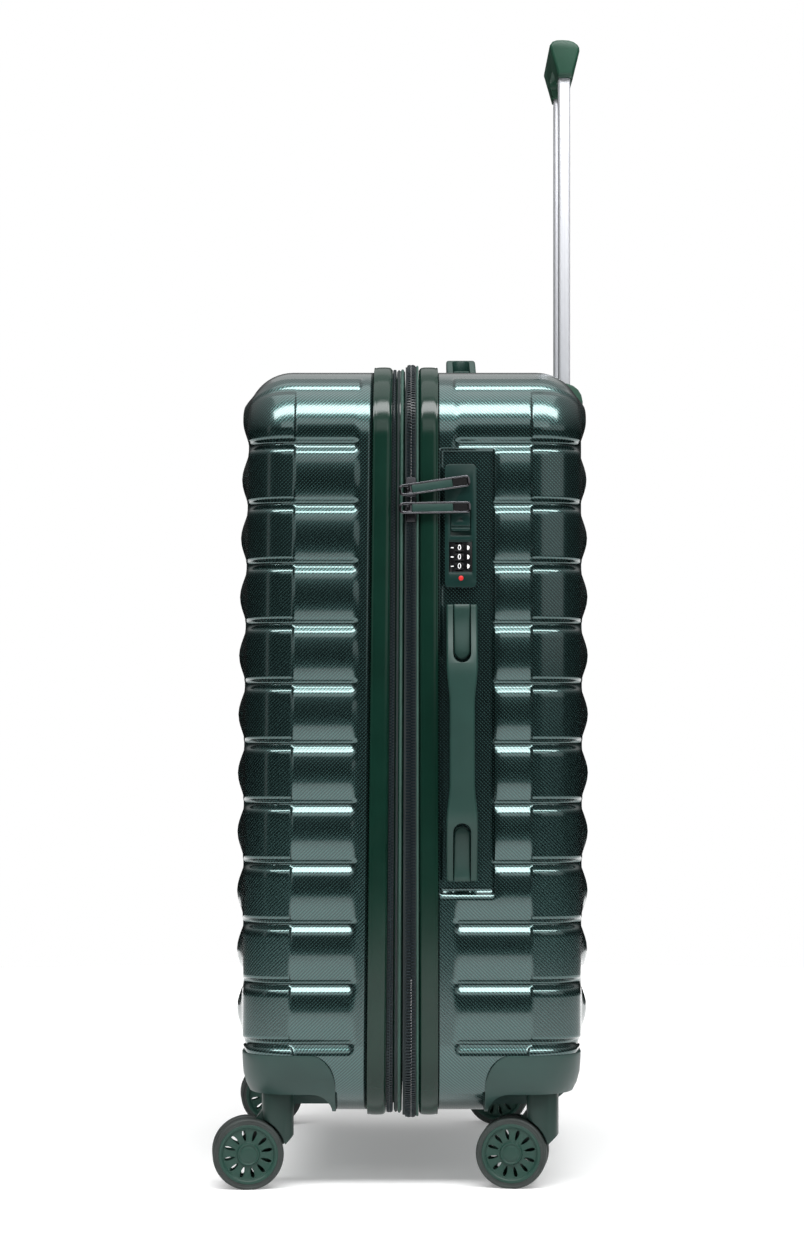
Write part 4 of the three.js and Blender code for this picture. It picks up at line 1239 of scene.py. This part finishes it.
def puller(name, z, lifted):
    """A framed puller: frame, coloured insert and dark end."""
    turn = (Matrix.Translation((*PULLER_PIVOT, z))
            @ Matrix.Rotation(math.radians(PULLER_YAW), 4, "Z")
            @ Matrix.Rotation(math.radians(lifted), 4, "X"))
    eye, window, end = (2.4, 0), (24.9, 0), (48.4, 0)
    bar = cutter(slab((PULLER_LENGTH + 4, PULLER_WIDTH), 3.2, 6, (PULLER_LENGTH / 2 - 0.5, 0),
                      -1.1, 1.1))
    carve(bar, slab((5.8, 5.2), 1.8, 4, eye, -5, 5))
    carve(bar, slab((34.2, 6.6), 0.9, 3, window, 0.35, 5))
    carve(bar, slab((11.4, 6.6), 1.6, 4, end, 0.35, 5))
    bevel(bar, 0.4, 2, 40)
    level, row = name.split("_")
    piece(f"{name}_frame", *moved(taken(bar), turn), "gunmetal", name, [f"{level}_zip_{row}"])
    insert = cutter(slab((33.6, 6.1), 0.8, 4, window, 0.3, 1.25))
    bevel(insert, 0.3, 2, 40)
    piece(f"{name}_insert", *moved(taken(insert), turn), "handle", name)
    dark = slab((10.9, 6.1), 1.4, 5, end, 0.3, 0.7)
    piece(f"{name}_end", *moved(dark, turn), "black", name)


refined("upper_zip_slider", "slider", 0.45)
refined("lower_zip_slider", "slider", 0.45)
puller("upper_puller", 575.5, 9)
puller("lower_puller", 561, 1.5)

# ---- trolley ----
GRIP_MIDDLE = 952
TUBE_X, TUBE_Y = 40, 133.5


def trolley_grip():
    """A crowned bar with rounded ends, hollowed below between the tubes."""
    path = [(127.6, 957.0), (139.2, 957.0), (140.2, 957.9), (146.6, 980.5), (146.4, 983.0),
            (144.8, 985.6), (141.5, 988.0), (137, 989.4), (131, 989.8), (126, 989.6),
            (122.4, 988.4), (120.3, 985.6), (120.0, 983.4)]
    cy, cz = np.mean(np.array(path), axis=0)
    stations = [(-57, 0.80), (-56.6, 0.88), (-55.6, 0.94), (-53.8, 0.98), (-51, 1)]
    stations += [(x, 1) for x in np.linspace(-46, 46, 9)]
    stations += [(-x, share) for x, share in stations[4::-1]]
    rows = [[(x, cy + (y - cy) * share, cz + (z - cz) * share) for y, z in path]
            for x, share in stations]
    grip = piece("trolley_handle", *stacked(rows), "grip", "trolley", ["trolley_grip"], None)
    carve(grip, slab((52, 36), 7, 6, (0, GRIP_MIDDLE), 100, 160, "y"))
    carve(grip, slab((40.8, 12.8), 3, 5, (0, 133), 978, 1000, "z"))
    for x in (-TUBE_X, TUBE_X):
        carve(grip, slab((20.6, 10.6), 2.5, 4, (x, TUBE_Y), 940, 972, "z"))
    bevel(grip, 0.9, 3, 34)


for side in ("right", "left"):
    refined(f"outer_tube_{side}", "silver", 0.3)
    refined(f"inner_tube_{side}", "silver", 0.3)
refined("trolley_foot", "grip", 1.2, 3)
refined("trolley_bezel", "grip", 0.9, 3)
trolley_grip()
refined("grip_button", "trim", 0.9, 3)


# ---- inside ----
LINING_INSET = 8.2
LINING_FACE = 124.5
DIVIDER_Y = -15.1
DIVIDER_INSET = 12.5
POCKET_MIDDLE = MIDDLE + 110
STRAP_TURN = 0.55
STRAP_REACH = 265


def lining():
    """The cloth inside the trolley half, opened for the bezel, the lock and the casters."""
    points, faces, _ = tray(LINING_INSET, LINING_FACE, 5, 5, 1, plain=True)
    obj = piece("lining_cloth", points, faces, "lining", "rear_case", ["rear_lining"], None)
    modified(obj, "SUBSURF", levels=1, render_levels=1, subdivision_type="SIMPLE")
    rng = np.random.default_rng(7)
    for v in obj.data.vertices:
        wave = math.sin(v.co.z * 61 + v.co.x * 23) * math.sin(v.co.x * 47 - v.co.z * 19)
        v.co.y -= 0.0008 * (1 + wave) + 0.0001 * float(rng.random())
    modified(obj, "SOLIDIFY", thickness=CLOTH * MM, offset=-1)
    carve(obj, box_solid((-76, 76), (111, 150), (639, 700)))
    carve(obj, box_solid((195, 230), (22, 56), (493, 602)))
    for x in ((-250, -132), (132, 250)):
        carve(obj, box_solid(x, (58, 170), (30, 91)))
    obj.data.shade_smooth()
    # cloth over the two caster housings
    caps = cutter(capped_tray(8.9, 123.8, 20))
    carve(caps, box_solid((130.4, 260), (56.4, 180), (40, 92.8)), "INTERSECT")
    bevel(caps, 3.0, 3, 50)
    carve(caps, box_solid((131.6, 260), (57.6, 180), (40, 91.6)))
    base, faces = taken(caps)
    for side, points in both_sides(base):
        piece(f"lining_corner_{side}", points, faces, "lining", "rear_case", (), 35)
    ring("lining_edge_tape", [(-8.8, 3.4), (-7.2, 3.4), (-7.2, 9.4), (-8.8, 9.4)], "webbing",
         "rear_case", (), leaning=False)


lining()


def flat_band(name, loops, offsets, look):
    """A flat band between two loops over the divider, with a thickness."""
    rows = [(x, float(lean(DIVIDER_Y, z)) + offset, z)
            for offset in offsets for loop in loops for x, z in loop]
    faces, n = [], len(loops[0])
    for m in range(n):
        k = (m + 1) % n
        faces += [(m, k, n + k, n + m), (2 * n + m, 3 * n + m, 3 * n + k, 2 * n + k),
                  (m, 2 * n + m, 2 * n + k, k), (n + m, n + k, 3 * n + k, 3 * n + m)]
    piece(name, rows, faces, look, "lid_frame")


def divider():
    """The cloth panel over the lid half, with its hem and a zipped pocket."""
    path = rounded(2 * (HALF_WIDTH - DIVIDER_INSET), CASE_TOP - CASE_BOTTOM - 2 * DIVIDER_INSET,
                   OUTLINE_RADIUS - DIVIDER_INSET, 10, 0, MIDDLE)

    def scaled(share):
        return [(x * share, MIDDLE + (z - MIDDLE) * share) for x, z in path]

    shares = (1.0, 0.985, 0.96, 0.9, 0.8, 0.66, 0.5, 0.34, 0.18)
    rows = []
    for share in shares:
        for x, z in scaled(share):
            swell = 0.32 * (1 - share) * math.sin(x * 0.021) * math.cos(z * 0.017)
            rows.append((x, float(lean(DIVIDER_Y, z)) + swell, z))
    n = len(path)
    last = len(rows) - n
    faces = lattice(len(shares), n)
    faces += [(last + m, last + (m + 1) % n, len(rows)) for m in range(n)]
    rows.append((0, float(lean(DIVIDER_Y, MIDDLE)), MIDDLE))
    obj = piece("divider_cloth", rows, faces, "lining", "lid_frame", ["divider_panel"], None)
    modified(obj, "SOLIDIFY", thickness=CLOTH * MM, offset=0)
    flat_band("divider_hem", [scaled(1.0), scaled(0.965)], (-0.9, 0.9), "webbing")
    flat_band("divider_pocket_zip", [rounded(300, 190, 26, 8, 0, POCKET_MIDDLE),
                                     rounded(292, 182, 22, 8, 0, POCKET_MIDDLE)],
              (1.5, -0.95), "zip")


divider()


def straps():
    """Crossed packing straps with a side release buckle where they meet."""
    section = ((-13, 0), (-12.4, -0.6), (12.4, -0.6), (13, 0), (12.4, 0.6), (-12.4, 0.6))
    rows, faces = [], []
    stations = np.linspace(-STRAP_REACH, STRAP_REACH, 61)
    for turn in (STRAP_TURN, -STRAP_TURN):
        spin = Matrix.Translation((0, 0, MIDDLE)) @ Matrix.Rotation(turn, 4, "Y")
        faces += lattice(len(stations), len(section), len(rows), caps=True)
        for s in stations:
            sag = 120.4 + 0.5 * math.cos(s * 0.045) + (0.9 if turn > 0 else 0)
            rows += [tuple(spin @ Vector((across, sag + out, s))) for across, out in section]
    piece("packing_webbing", rows, faces, "webbing", "rear_case", ["packing_straps"], 50)
    buckle = piece("packing_buckle", *slab((62, 42), 7, 6, (0, MIDDLE), 116.6, 121.6, "y"),
                   "black", "rear_case")
    for x in (-22, 22):
        carve(buckle, slab((4, 30), 1.8, 4, (x, MIDDLE), 110, 130, "y"))
    for z in (8, -8):
        carve(buckle, slab((26, 3), 1.2, 4, (0, MIDDLE + z), 110, 118.2, "y"))
    bevel(buckle, 1.2, 3, 40)


straps()


def gusset():
    """The folded cloth between the lid frame and the lid half, which the expander opens."""
    section = [(-6.0, -11.4), (-6.2, -14.5), (-6.4, -16.8), (-8.8, -17.6), (-9.4, -20),
               (-9.4, -30.6)]
    rows = swept(section, steps=12, ripple=0.25)
    faces = lattice(len(rows) // len(section), len(section), around=True, open_loops=True)
    obj = piece("gusset_cloth", rows, faces, "gusset", None, ["expansion_gusset"], None)
    modified(obj, "SOLIDIFY", thickness=0.8 * MM, offset=0)
    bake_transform(obj)


gusset()


def hinge():
    """The cloth that joins the halves along the side away from the lock."""
    zs = np.linspace(HINGE_LOW + 1, HINGE_HIGH - 1, 60)
    ys = [3.8, 2.0, 0.2, -1.6, -3.4, -5.0, -6.6]
    rows = [(-226.3 - 0.3 * math.cos(y * 0.9), y, z) for z in zs for y in ys]
    faces = lattice(len(zs), len(ys), open_loops=True)
    obj = piece("hinge_cloth", rows, faces, "gusset", None, ["hinge_tape"], None)
    modified(obj, "SOLIDIFY", thickness=0.8 * MM, offset=0)
    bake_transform(obj)


hinge()

size = {"cad": [list(c) for c in cad_bounds], "visual": [list(c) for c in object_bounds()]}
